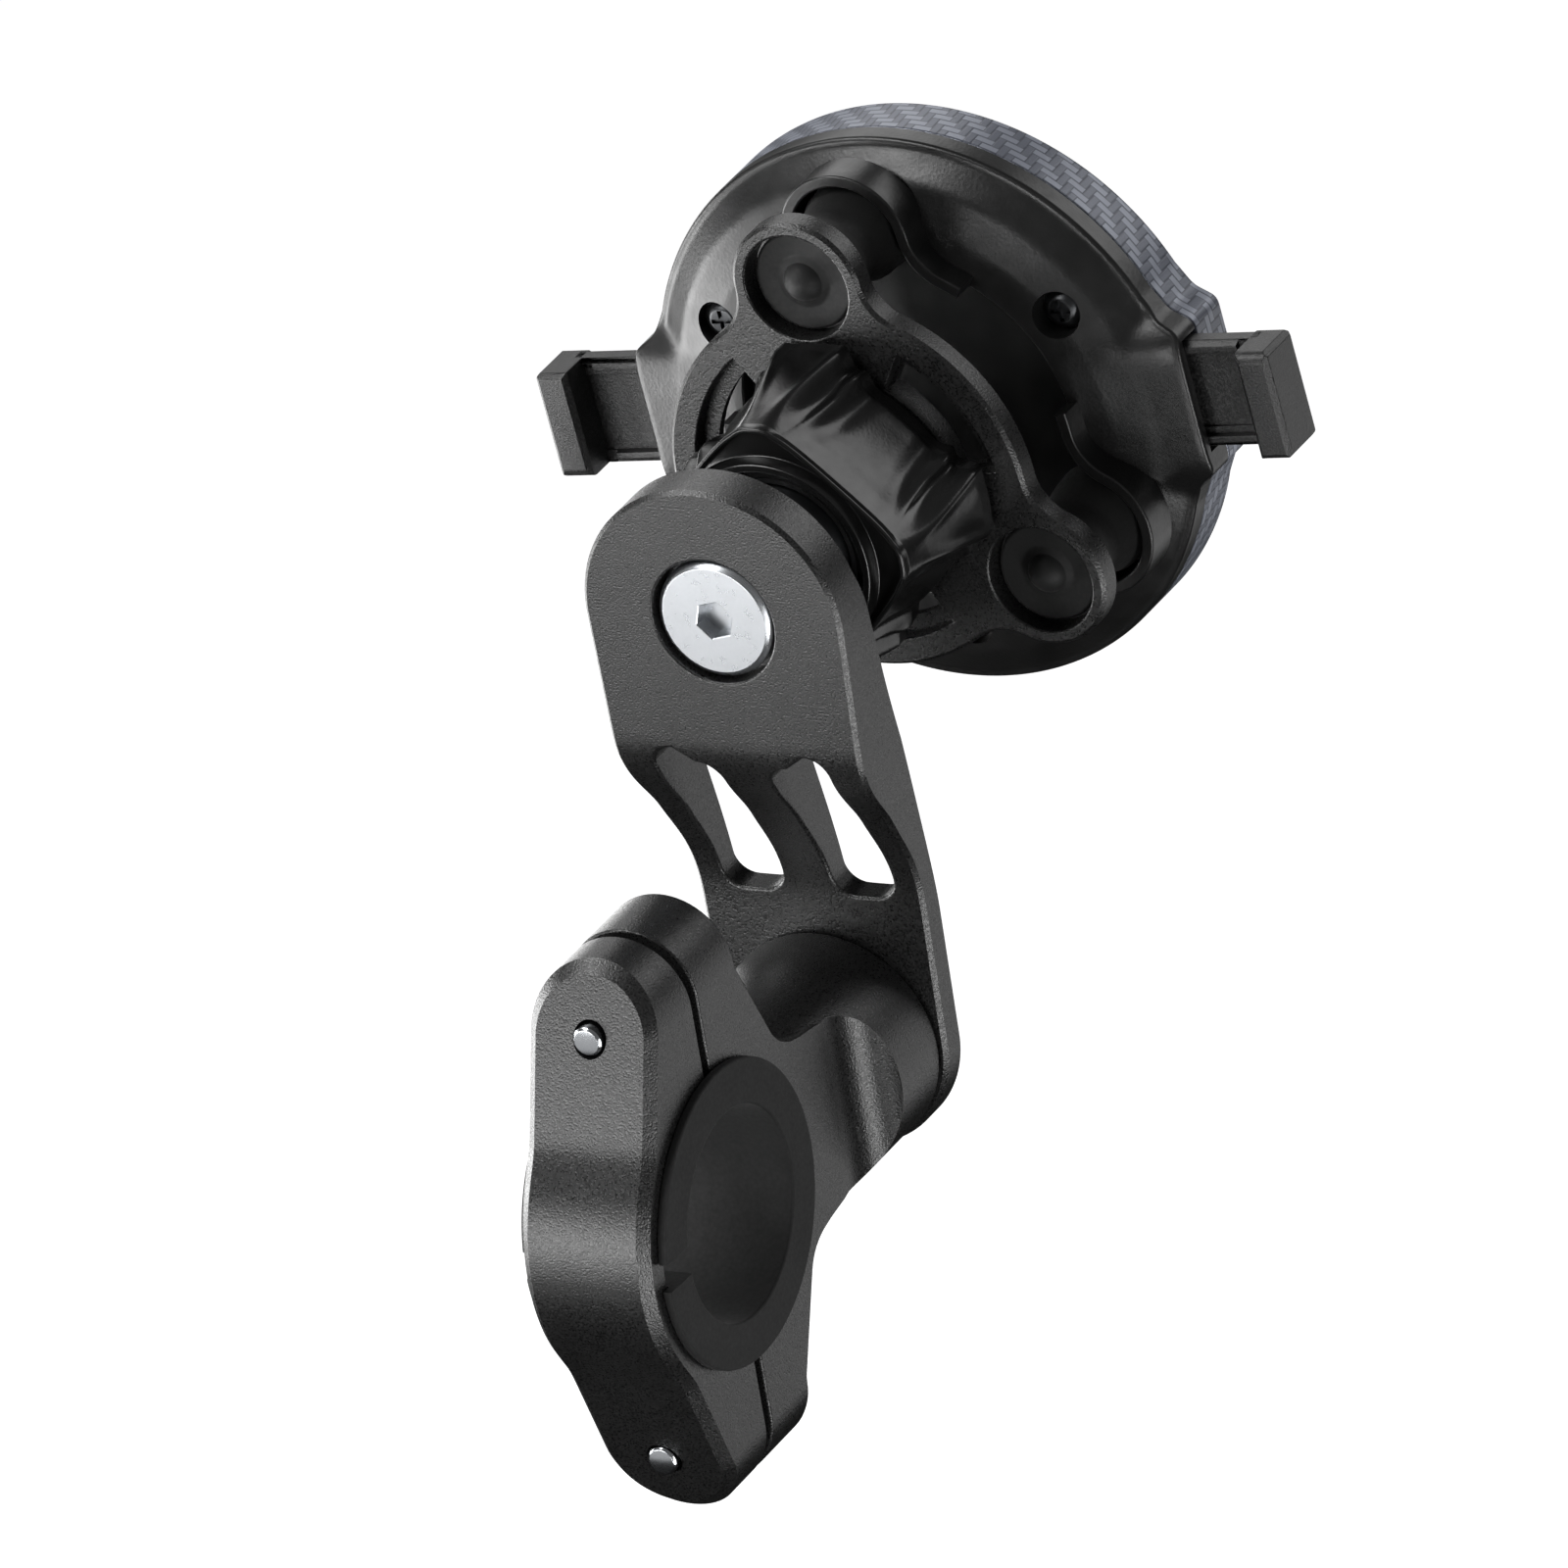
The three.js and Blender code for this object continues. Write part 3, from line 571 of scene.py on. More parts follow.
def gloss_black():
    """Polished moulded plastic."""
    s = Shader("gloss_black")
    s.set(
        base_color=s.ramp(s.noise(5, 3), grey(0.005), grey(0.009)),
        roughness=s.spread(s.noise(1.6, 4), 0.2, 0.27),
        normal=s.bump(s.noise(0.3, 2), 0.025, 0.5),
        specular_ior_level=0.6,
    )
    return s.material


def rubber(name, tone, rough):
    s = Shader(name)
    grain = s.sum(s.noise(0.35, 2), s.cells(0.5), 0.6)
    s.set(
        base_color=s.ramp(s.noise(3, 4), grey(tone * 0.8), grey(tone * 1.2)),
        roughness=s.spread(grain, rough - 0.08, rough + 0.06),
        normal=s.bump(grain, 0.02, 0.25),
        specular_ior_level=0.35,
        sheen_weight=0.05,
    )
    return s.material


def steel(name, tone, rough):
    s = Shader(name)
    scratches = s.node(
        "Mapping", {"Vector": s.place, "Scale": (1.0, 14.0, 1.0)}
    ).outputs["Vector"]
    streak = s.node("TexNoise", {"Vector": scratches, "Scale": 1100, "Detail": 4}).outputs["Fac"]
    dark = (tone * 0.93, tone * 0.96, tone, 1)
    light = (tone * 0.96, tone * 0.99, tone * 1.03, 1)
    s.set(
        base_color=s.ramp(s.noise(0.3, 2), dark, light),
        metallic=1.0,
        roughness=s.spread(streak, rough * 0.96, rough * 1.05),
        normal=s.bump(streak, 0.001, 0.03),
    )
    return s.material


def brass():
    s = Shader("brass")
    s.set(
        base_color=s.ramp(s.noise(1.0, 4), (0.42, 0.3, 0.12, 1), (0.55, 0.41, 0.18, 1)),
        metallic=1.0,
        roughness=s.spread(s.noise(0.5, 3), 0.25, 0.4),
        normal=s.bump(s.noise(0.3, 2), 0.01, 0.2),
    )
    return s.material


def carbon_weave():
    """A twill weave of flat strands. The attribute weave holds each point's place along and across, in mm."""
    s = Shader("carbon_weave")
    flat = s.node("Attribute", attribute_name="weave").outputs["Vector"]
    split = s.node("SeparateXYZ", {"Vector": flat})

    def calc(operation, *values):
        return s.node("Math", dict(enumerate(values)), operation=operation).outputs[0]

    cell = 0.95
    p = calc("DIVIDE", split.outputs["X"], cell)
    q = calc("DIVIDE", split.outputs["Y"], cell)
    row, column = calc("FLOOR", p), calc("FLOOR", q)
    over = calc("LESS_THAN", calc("FLOORED_MODULO", calc("SUBTRACT", row, column), 4.0), 1.5)
    within = [calc("SUBTRACT", p, row), calc("SUBTRACT", q, column)]
    beside, along = [calc("MINIMUM", w, calc("SUBTRACT", 1.0, w)) for w in within]
    edge = calc("ADD", calc("MULTIPLY", over, along), calc("MULTIPLY", calc("SUBTRACT", 1.0, over), beside))
    crown = s.spread(edge, 0.0, 1.0, (0.0, 0.2))
    fibres = s.node(
        "TexWave",
        {"Vector": flat, "Scale": 2.4, "Distortion": 0.6, "Detail": 1.0},
        wave_type="BANDS",
        bands_direction="Y",
    ).outputs["Fac"]
    tone = s.sum(calc("MULTIPLY", calc("MULTIPLY_ADD", over, 0.6, 0.4), crown), fibres, 0.8)
    s.set(
        base_color=s.ramp(tone, (0.06, 0.067, 0.09, 1), (0.3, 0.32, 0.38, 1), (0.15, 0.8)),
        metallic=0.25,
        roughness=s.spread(fibres, 0.32, 0.45, (0, 1)),
        normal=s.bump(s.sum(crown, fibres, 0.75), 0.06, 0.5),
        coat_weight=0.1,
        coat_roughness=0.15,
    )
    return s.material


METAL = black_metal()
COVER = cover_plastic()
JAW = jaw_plastic()
GLOSS = gloss_black()
SLEEVE = rubber("sleeve_rubber", 0.0105, 0.78)
PLUG = rubber("plug_rubber", 0.008, 0.62)
PAD = rubber("pad_rubber", 0.012, 0.8)
STEEL = steel("bright_steel", 0.62, 0.16)
CHROME = steel("bolt_steel", 0.6, 0.28)
DARK_STEEL = steel("dark_steel", 0.07, 0.36)
BRASS = brass()
CARBON = carbon_weave()

# ---------- clamp ----------


def mirrored_profile(points):
    return profile_of(points + [(y, -z) for y, z in points])


def clamp_cap():
    """The clamp's front half: round over the bar, with ears that slant back towards their ends."""

    def ear_face(z):
        return CAP_EAR_Y - CAP_SLOPE * (EAR_Z - z)

    start, half, bend = 14.1, 10, (-13.4, 12.75)
    crest = [(-math.sqrt(CLAMP_R**2 - z * z), z) for z in np.linspace(half, 0.1, 14)]
    blend = bezier((ear_face(start + 1), start + 1), bend, bend, crest[0], 14)
    outside = mirrored_profile([(ear_face(40), 40), *blend, *crest[1:]])
    edge, depth = 1.1, 12
    ob = prism(stadium(EAR_R, -EAR_Z, EAR_Z), 0, depth, low_edge=edge, high_edge=0.25, steps=1)
    heights = [h * s for h in np.arange(0.4, 15.4, 0.5) for s in (1, -1)]
    warp(ob, heights, outside, lambda z: -SPLIT, depth, edge)
    tools = [prism(circle(SLEEVE_R + GAP, steps=128), -20, 20, "side")]
    for z in (EAR_Z, -EAR_Z):
        tools.append(prism(circle(SCREW_R + GAP, 0, z, 40), -20, 1))
    return cut(ob, *tools)


def clamp_base():
    line = [(BASE_EAR_Y, 40), (BASE_EAR_Y, 23.4), (13.6, 13.6)]
    line += bezier((13.6, 13.6), (14.4, 12.0), (15.7, 11.0), (18.4, 10.4), 10)[1:]
    line += [(24, 9.6)]
    outside = mirrored_profile(rounded(line, [0, 2.0] + [0] * (len(line) - 2), 8, closed=False))
    edge, depth = 0.45, 10
    ob = prism(stadium(EAR_R, -EAR_Z, EAR_Z), 0, depth, low_edge=0.25, high_edge=edge)
    heights = [h * s for h in np.arange(9.4, 26, 0.45) for s in (1, -1)]
    warp(ob, heights, lambda z: SPLIT, outside, depth, edge)
    flare, start = 5.6, 23.2
    side = CLAMP_HALF
    right = [(side, 10), (side, start)]
    right += arc(side + flare, start, flare, 180, 96, 20)[1:]
    right += [(BOSS_R + 1, BOSS_Y + 1)]
    waist = right + [(-x, y) for x, y in reversed(right)]
    boss = prism(circle(BOSS_R, steps=160), 16, BOSS_Y, high_edge=0.5)
    common(boss, prism(waist, -BOSS_R - 1, BOSS_R + 1, "top"))
    united(ob, boss)
    tools = [prism(circle(SLEEVE_R + GAP, steps=128), -20, 20, "side")]
    tools.append(hole(circle(PIVOT_R, steps=40), 22, BOSS_Y, None, 0.3))
    for z in (EAR_Z, -EAR_Z):
        tools.append(hole(circle(SCREW_R + GAP, 0, z, 40), SPLIT, 30, 0.1, None))
        tools.append(hole(circle(SCREW_HEAD_R + GAP, 0, z, 48), 6.4, BASE_EAR_Y, None, 0.3))
    return cut(ob, *tools)


def clamp_screw(z):
    tip = [(0, -10), (SCREW_R - 0.25, -9.95), (SCREW_R, -9.7), (SCREW_R, -9)]
    head = [(SCREW_R, 6.7), (SCREW_HEAD_R, 6.7), (SCREW_HEAD_R, 10), (0, 10)]
    ob = turned(rounded(tip + head, [0, 0.1, 0.1, 0, 0.1, 0.15, 0.3, 0], 3, closed=False), 48)
    moved(ob, Matrix.Translation((0, 0, z)))
    key = circle(1.5, 0, z, 6)
    return cut(ob, hole(key, 8.4, 10, None, 0.2))


def rubber_sleeve():
    edge = CLAMP_HALF + 1
    flange = CLAMP_HALF + GAP / 3
    outline = [
        (BAR_R, -edge),
        (FLANGE_R, -edge),
        (FLANGE_R, -flange),
        (SLEEVE_R, -flange),
        (SLEEVE_R, flange),
        (FLANGE_R, flange),
        (FLANGE_R, edge),
        (BAR_R, edge),
    ]
    ring = turned(outline, 144, [0.25, 0.25, 0.1, 0, 0, 0.1, 0.25, 0.25], 3, axis="X")
    slit = box(-12, 12, -20, -8, -1.5, 1.5)
    moved(slit, Matrix.Rotation(math.radians(-3), 4, "X"))
    return cut(ring, slit)


# ---------- arm ----------


def arm_front():
    outline = arc(0, ARM_Z, ARM_TOP_R, 0, 180, 60)
    left = bezier((-14.15, 35.5), (-13.7, 29), (-13.1, 24), (-12.9, 16), 16)
    right = [(-x, z) for x, z in reversed(left)]
    outline = rounded([*outline, left[0]], 0, closed=False)
    return outline + left[1:] + arc(0, 0, FOOT_R, 180, 360, 60) + right


def arm_window(side):
    x0, x1, z0, z1, r = 2.8, 9.9, 16.4, 37, 2.4
    points = arc(x1 - r, z0 + r, r, -90, 0, 8)
    points += arc(x1 - r, z1 - r, r, 0, 90, 8)
    points += arc(x0 + r, z1 - r - 1.6, r, 90, 180, 8)
    points += arc(x0 + r, z0 + r, r, 180, 270, 8)
    return [(side * x, z) for x, z in points]


def arm_bracket():
    front = bezier((ARM_FRONT, 38), (ARM_FRONT, 33), (31.4, 30.4), (33, 27.4), 16)
    front += bezier((33, 27.4), (35, 23.6), (FOOT_FRONT, 21), (FOOT_FRONT, 15), 16)[1:]
    rear = bezier((FOOT_REAR, 14), (FOOT_REAR, 22), (36.6, 35), (35.2, 45), 20)
    rear += bezier((35.2, 45), (34.4, 49.7), (33.9, 53.3), (ARM_REAR, 56), 8)[1:]
    edge, depth = 0.45, ARM_REAR - ARM_FRONT
    ob = prism(arm_front(), 0, depth, low_edge=edge, high_edge=edge, steps=1)
    cut(ob, *[hole(arm_window(s), 0, depth, 0.45, 0.45) for s in (1, -1)])
    heights = list(np.arange(13.5, 57, 0.7))
    warp(ob, heights, profile_of(front), profile_of(rear), depth, edge)
    tools = [
        hole(circle(6.9, 0, ARM_Z, 96), ARM_FRONT, 30.6, 0.25, None),
        hole(circle(3.2, 0, ARM_Z, 48), 30.6, ARM_REAR, 0.1, None),
        hole(circle(6.9, 0, ARM_Z, 96), ARM_REAR, 50, None, None),
        hole(circle(PIVOT_R, steps=48), FOOT_FRONT, FOOT_REAR, 0.2, 0.2),
    ]
    return cut(ob, *tools)


def low_bolt(head_r, head_y, head_t, shank_r, end, hex_size):
    profile = [
        (0, head_y),
        (head_r - 0.6, head_y),
        (head_r, head_y + 0.5),
        (head_r, head_y + head_t),
        (shank_r, head_y + head_t),
        (shank_r, end),
        (0, end),
    ]
    head = turned(profile, 128, [0, 0.12, 0.2, 0.2, 0.1, 0.3, 0], 3)
    key = [around(hex_size / math.sqrt(3), 60 * i + 15) for i in range(6)]
    return cut(head, hole(key, head_y, head_y + 1.9, 0.12, None, steps=1))


# ---------- ball joint ----------


def ball_arc(radius, start, end, steps):
    """Points of an arc about the ball, angles in degrees from the side of the arm."""
    return [(a, BALL_Y - b) for b, a in arc(0, 0, radius, start, end, steps)]


def ball_stem():
    start = ARM_REAR + 0.9 + GAP
    neck = math.degrees(math.asin(NECK_R / BALL_R))
    flange = [(3.1, start), (6.6, start), (6.6, start + 1), (NECK_R, start + 2)]
    flange = rounded(flange, [0, 0.3, 0.3, 0.8], 3, closed=False)
    rest = ball_arc(BALL_R, neck, 177, 32)
    return turned(flange + rest + [(0.4, 44.5), (3.1, 44.5)], 96)


def ball_socket():
    bore = BALL_R + 1.2 + GAP
    mouth = math.degrees(math.acos((BALL_Y - MOUTH_Y) / bore))
    end = PLATE_Y - GAP
    outline = [(0, MOUTH_Y), (SOCKET_R - 1, MOUTH_Y), (SOCKET_R, MOUTH_Y + 1), (SOCKET_R, end), (0, end)]
    outer = turned(outline, 120, [0, 0.3, 0.3, 0.2, 0], 3)
    cup = ball_arc(bore, mouth, 128, 20)
    inner = turned([(0, 30), (cup[0][0], 30), *cup, (6, 56.3), (0, 56.3)], 96)
    slots = []
    for degrees in (12, 72, 132):
        slot = box(-20, 20, 30, 50, -0.8, 0.8)
        slots.append(moved(slot, Matrix.Rotation(math.radians(degrees), 4, "Y")))
    return cut(outer, inner, *slots)


def smooth_step(value):
    value = min(1, max(0, value))
    return value * value * (3 - 2 * value)


def nut_grow(y):
    """How far along the nut a height is, and the half width of a lobe there, in degrees."""
    t = min(1, max(0, (y - 42.4) / 13.2))
    return t, 1.5 + 10.5 * t**0.8


def nut_angles(y, steps=30):
    """Angles of the nut's points, in degrees from a lobe's middle, gathered along the creases."""
    _, half = nut_grow(y)
    inner = [half * i / steps for i in range(steps)]
    crease = [half + 15 * i / (2 * steps) for i in range(2 * steps)]
    outer = [half + 15 + (30 - half) * i / steps for i in range(steps)]
    right = inner + crease + outer
    return right + [45] + [90 - a for a in reversed(right[1:])]


def nut_reach(off, y):
    """How far the nut's outside is from its axis: a rounded square with four creased lobes."""
    t, half = nut_grow(y)
    off = min(off, 90 - off)
    side = 12 + 1.3 * t - 0.75 * math.sin(math.pi * t)
    corner = 14.5 + 2.3 * t**0.8
    flat = smooth_min(side / math.cos(math.radians(45 - off)), corner, 0.9)
    reach = flat + (corner - flat) * smooth_step((half + 9 - off) / 9)
    ridges = (
        0.3 * math.exp(-(((off - half + 0.5) / 2.4) ** 2))
        - 0.7 * math.exp(-(((off - half - 4.8) / 2.8) ** 2))
        + 0.6 * math.exp(-(((off - half - 10) / 3) ** 2))
        - 0.3 * math.exp(-(((off - half - 17) / 5) ** 2))
    )
    knuckle = 0.5 * math.exp(-(((y - 54.5) / 1.8) ** 2)) * math.exp(-(((off - half - 9) / 3.5) ** 2))
    return reach + ridges * smooth_step((t - 0.05) / 0.6) + knuckle


def lock_nut():
    outline = [
        (SOCKET_R + GAP, MOUTH_Y + 0.9),
        (10.3, MOUTH_Y - 0.4),
        (10, NUT_Y),
        (10.9, NUT_Y),
        (11.3, 42.6),
        (11.95, 42.7),
        (12.1, 41.9),
        (12.65, 42.0),
        (12.3, 43.1),
        (12.4, 46),
        (12.4, 50),
        (12.4, 54),
        (12.3, NUT_END),
        (SOCKET_R + GAP, NUT_END),
    ]
    profile = rounded(outline, [0.3, 0.2, 0.2, 0.3, 0.2, 0.2, 0.2, 0.25, 0.8, 3, 3, 3, 0.8, 0.2], 5)
    profile = dense([*profile, profile[0]], 0.35)[:-1]
    rings = []
    for r, y in profile:
        outside = min(1, max(0, (r - 11.4) / 0.5))
        ring = []
        for quarter in range(4):
            for off in nut_angles(y):
                reach = r * (1 - outside) + (nut_reach(off, y) + r - 12.4) * outside
                angle = math.radians(92 + 90 * quarter + off)
                ring.append((reach * math.cos(angle), y, reach * math.sin(angle)))
        rings.append(ring)
    return loft(rings, closed=True)


# ---------- damper ----------


def damper_plate():
    end = PLATE_Y + PLATE_T
    ob = prism(lobed(PLATE_R, LOBE_R, FILLET_R, 14), PLATE_Y, end, low_edge=0.4, high_edge=0.4, steps=1)
    tools = []
    for degrees in LOBES:
        x, z = around(LOBE_AT, degrees)
        tools.append(hole(circle(LOBE_HOLE_R, x, z, 72), PLATE_Y, end, 0.3, 0.2))
    for degrees in SCREWS:
        through = rounded(sector(12.8, 15.7, degrees, 25, 20), 0)
        ledge = sector(12.8, 17.4, degrees, 26.5, 20)
        tools.append(hole(through, PLATE_Y, end, 0.0, 0.15))
        tools.append(hole(ledge, PLATE_Y, PLATE_Y + 1.8, 0.2, None))
    return cut(ob, *tools)


def grommet(degrees):
    x, z = around(LOBE_AT, degrees)
    face = PLATE_Y + 1.9
    nub = [(2.3 * math.sin(a), PLATE_Y + 2.4 - 2.3 * math.cos(a)) for a in np.linspace(0, 1.2, 10)]
    shoulder = PLATE_Y + PLATE_T + 0.9
    r = LOBE_HOLE_R - GAP
    outline = [
        *nub,
        (2.9, face),
        (r, face - 0.2),
        (r, shoulder),
        (5.3, shoulder + 0.6),
        (4.3, 66),
        (4.3, 67.6),
        (5.5, 71.2),
        (5.7, 74),
        (1.8, 74),
        (1.8, 63.5),
        (0, 63.5),
    ]
    curves = [0] * len(nub) + [0.9, 0.4, 0.4, 0.6, 3, 3, 1.5, 0.2, 0.1, 0.1, 0]
    return turned(outline, 72, curves, 4, at=(x, z))


# ---------- holder ----------


def smooth_min(a, b, k):
    return -k * math.log(math.exp(-a / k) + math.exp(-b / k))


DOME = profile_of(
    [
        (y, r)
        for r, y in rounded(
            [(0, DOME_Y), (19.5, DOME_Y), (23, DOME_Y + 0.6), (27, DOME_Y + 1.8), (29.9, RIM_Y), (40, RIM_Y)],
            [0, 6, 5, 4, 0.8, 0],
            8,
            closed=False,
        )
    ]
)


def cover_height(x, z):
    """The back of the cover: a dome, and a boss on each side that the jaws come out of."""
    top = DOME_Y + 0.3 + max(0, abs(x) - 20) * 0.15
    end = max(0, abs(x) - BOSS_X + 0.7)
    flank = 0.9 * math.log1p(math.exp((abs(z) - BOSS_HALF + 1.0) / 0.9))
    boss = top + end**2 * 0.6 + 0.85 * flank
    return smooth_min(DOME(math.hypot(x, z)), boss, 0.3)


def back_cover():
    outline = holder_outline()
    edge = 0.45
    shares = [0.02, *np.linspace(0.08, 0.6, 14), *np.linspace(0.62, 1, 46)]
    inner = grown(outline, -edge)
    rings = []
    for share in shares:
        rings.append([(x * share, cover_height(x * share, z * share), z * share) for x, z in inner])
    for k in (1, 2, 3):
        t = k / 3 * math.pi / 2
        line = grown(outline, -edge * (1 - math.sin(t)))
        depth = edge * (1 - math.cos(t))
        rings.append([(x, cover_height(a, b) + depth, z) for (x, z), (a, b) in zip(line, inner)])
    rings.append([(x, JOIN_Y, z) for x, z in outline])
    ob = loft(rings)
    slot = box(-40, 40, JAW_Y0 - GAP, 90, JAW_LOW - GAP, JAW_HIGH + GAP)
    tools = [slot]
    for at in SCREWS:
        x, z = around(SCREW_AT, at)
        tools.append(prism(circle(2.5, x, z, 48), 60, DOME_Y + 3))
    for at in LOBES:
        tools.append(prism(circle(1.8, *around(LOBE_AT, at), 24), 60, 90))
    trough = hole(lobed(PLATE_R - 1.3, LOBE_R - 1.3, FILLET_R + 1.3, 14), DOME_Y, DOME_Y + 1.9, 0.2, None)
    cut(ob, *tools, trough)
    walls = prism(lobed(PLATE_R, LOBE_R, FILLET_R, 14), WALL_Y, DOME_Y + 1.4, low_edge=0.25)
    inside = hole(lobed(PLATE_R - 1.3, LOBE_R - 1.3, FILLET_R + 1.3, 14), WALL_Y, DOME_Y + 2, 0.25, None)
    breaks = [prism(sector(10, 24, at, 24), 60, DOME_Y + 1.6) for at in SCREWS]
    cut(walls, inside, *breaks)
    return merged(ob, walls)


def cover_screw(degrees):
    head = DOME_Y + 1.6
    x, z = around(SCREW_AT, degrees)
    body = turned(
        [(0, head), (1.3, head), (2.1, head + 0.6), (2.1, head + 1.1), (1, head + 1.1), (1, 82), (0, 82)],
        48,
        [0, 0.5, 0.2, 0.1, 0.1, 0.2, 0],
        3,
    )
    long, thin = 1.2, 0.25
    across = box(-long, long, head - 1, head + 0.5, -thin, thin)
    upright = box(-thin, thin, head - 1, head + 0.5, -long, long)
    cut(body, across, upright)
    return moved(body, Matrix.Translation((x, 0, z)))


def front_housing():
    back = JOIN_Y + 0.15
    outline = holder_outline()
    ob = prism(outline, back, FACE_Y, low_edge=0.25, high_edge=0.9, steps=4)
    tools = [
        prism(circle(28.8, steps=96), 60, FACE_Y - 1.6),
        hole(circle(19.3, steps=96), FACE_Y - 0.6, FACE_Y, None, 0.15),
    ]
    slots = [box(FINGER_X0 - 1.4, 40, 60, 100, JAW_LOW - 0.4, 2.4) for _ in range(2)]
    moved(slots[1], half_turn())
    return cut(ob, *tools, *slots)


def weave_places(ob):
    """Stores where each corner lies on the weave: along the rim and across it, or flat on the face, in mm."""
    mesh = ob.data
    layer = mesh.attributes.new("weave", "FLOAT_VECTOR", "CORNER")
    values = []
    for face in mesh.polygons:
        on_rim = abs(face.normal.y) < 0.7
        middle = math.atan2(face.center.z, face.center.x)
        for index in face.vertices:
            x, y, z = mesh.vertices[index].co
            if on_rim:
                angle = math.atan2(z, x)
                angle += round((middle - angle) / (2 * math.pi)) * 2 * math.pi
                values += [angle * DISC_R, y, 0]
            else:
                values += [x, z, 0]
    layer.data.foreach_set("vector", values)


def front_pad():
    y0, y1 = FACE_Y - 0.3, FACE_Y + 0.7
    return turned([(0, y0), (19, y0), (19, y1), (0, y1)], 128, [0, 0.2, 0.4, 0], 4)


# ---------- jaws ----------


def rack():
    """The toothed bar that meets the pinion in the middle of the holder."""
    teeth, radius, height = 12, RACK_Z, 0.42
    pitch = 2 * math.pi * radius / teeth
    count = 26
    x0 = -pitch * count / 2
    line = JAW_MID + radius
    back = line + 1.25
    outline = [(x0, back), (x0, line + height)]
    for i in range(count):
        x = x0 + (i + 0.5) * pitch
        for dx, dz in ((-0.44, height + 0.12), (-0.18, -height), (0.18, -height), (0.44, height + 0.12)):
            outline.append((x + dx, line + dz))
    outline += [(-x0 + 0.8, line + height), (-x0 + 0.8, back)]
    return prism(outline, JAW_Y0 + 0.6, JAW_Y1)


def soft_block():
    """The thick end of a jaw: a well rounded top towards the clamp, and flat chamfers elsewhere."""
    edge, top = 0.55, 1.15
    outline = [
        (BLOCK_X0 + edge, BLOCK_Y),
        (BLOCK_X1 - edge, BLOCK_Y),
        (BLOCK_X1, BLOCK_Y + edge),
        (BLOCK_X1, BLOCK_Y1 - edge),
        (BLOCK_X1 - edge, BLOCK_Y1),
        (BLOCK_X0, BLOCK_Y1),
        (BLOCK_X0, BLOCK_Y + edge),
    ]
    ob = prism(rounded(outline, 0.12, 2), JAW_LOW, JAW_HIGH, "top")
    angles = np.linspace(0.15, math.pi / 2, 8)
    side = [
        (BLOCK_Y + top, JAW_HIGH),
        *[(BLOCK_Y + top * (1 - math.sin(a)), JAW_HIGH - top * (1 - math.cos(a))) for a in angles],
        (BLOCK_Y, JAW_LOW + edge),
        (BLOCK_Y + edge, JAW_LOW),
        (BLOCK_Y1 - edge, JAW_LOW),
        (BLOCK_Y1, JAW_LOW + edge),
        (BLOCK_Y1, JAW_HIGH - edge),
        (BLOCK_Y1 - edge, JAW_HIGH),
    ]
    front = [
        (BLOCK_X0 - 1, JAW_LOW),
        (BLOCK_X1 - edge, JAW_LOW),
        (BLOCK_X1, JAW_LOW + edge),
        (BLOCK_X1, JAW_HIGH - edge),
        (BLOCK_X1 - edge, JAW_HIGH),
        (BLOCK_X0 - 1, JAW_HIGH),
    ]
    common(ob, prism(side, BLOCK_X0 - 1, BLOCK_X1 + 1, "side"))
    common(ob, prism(front, BLOCK_Y - 1, BLOCK_Y1 + 1))
    bevel(ob, 0.1, 2, 25)
    applied(ob)
    return ob


def jaw():
    lip = 1.3
    inner = BLOCK_X0 + 1
    slider = box(21.4, inner, JAW_Y0, JAW_Y1, JAW_LOW, JAW_HIGH)
    hollow = box(20, BLOCK_X0 + 0.2, JAW_Y0 - 1, JAW_Y1 - 1.2, JAW_LOW + lip, JAW_HIGH - lip)
    notches = []
    for z in (JAW_LOW + 1.0, JAW_HIGH - 1.0):
        x0, x1, z0, z1 = BLOCK_X0 - 1.3, BLOCK_X0 + 0.3, z - 0.9, z + 0.9
        outline = rounded([(x0, z0), (x1, z0), (x1, z1), (x0, z1)], 0.5, 4)
        notches.append(prism(outline, JAW_Y0 - 1, JAW_Y0 + 0.7))
    slopes = [
        prism([(JAW_Y0 - 0.01, z), (JAW_Y0 + 0.6, z), (JAW_Y0 - 0.01, z - way * 0.6)], 20, inner, "side")
        for z, way in ((JAW_HIGH + 0.01, 1), (JAW_LOW - 0.01, -1))
    ]
    cut(slider, hollow, *notches, *slopes)
    step = box(21.6, BLOCK_X0 + 0.4, JAW_Y1 - 1.5, JAW_Y1 - 1, JAW_LOW + 0.9, JAW_LOW + 2.1, 0.12)
    bevel(slider, 0.12)
    applied(slider)
    block = soft_block()
    finger = box(FINGER_X0, FINGER_X1, JAW_Y1 - 0.5, FINGER_Y, JAW_LOW, 2, 0.3)
    end = box(FINGER_X0 - 1, FINGER_X1, FINGER_Y - 1.4, FINGER_Y, JAW_LOW, 2, 0.4)
    teeth = rack()
    link = box(18, 23, JAW_Y0 + 0.6, JAW_Y1, JAW_MID + RACK_Z + 0.42, JAW_MID + RACK_Z + 1.25)
    return merged(slider, step, block, finger, end, teeth, link)


def finger_pad():
    return box(FINGER_X0 - GAP - 0.6, FINGER_X0 - GAP, FACE_Y + 1.1, FINGER_Y - 1.7, JAW_LOW + 0.6, 1.4, 0.2)


# ---------- assembly ----------

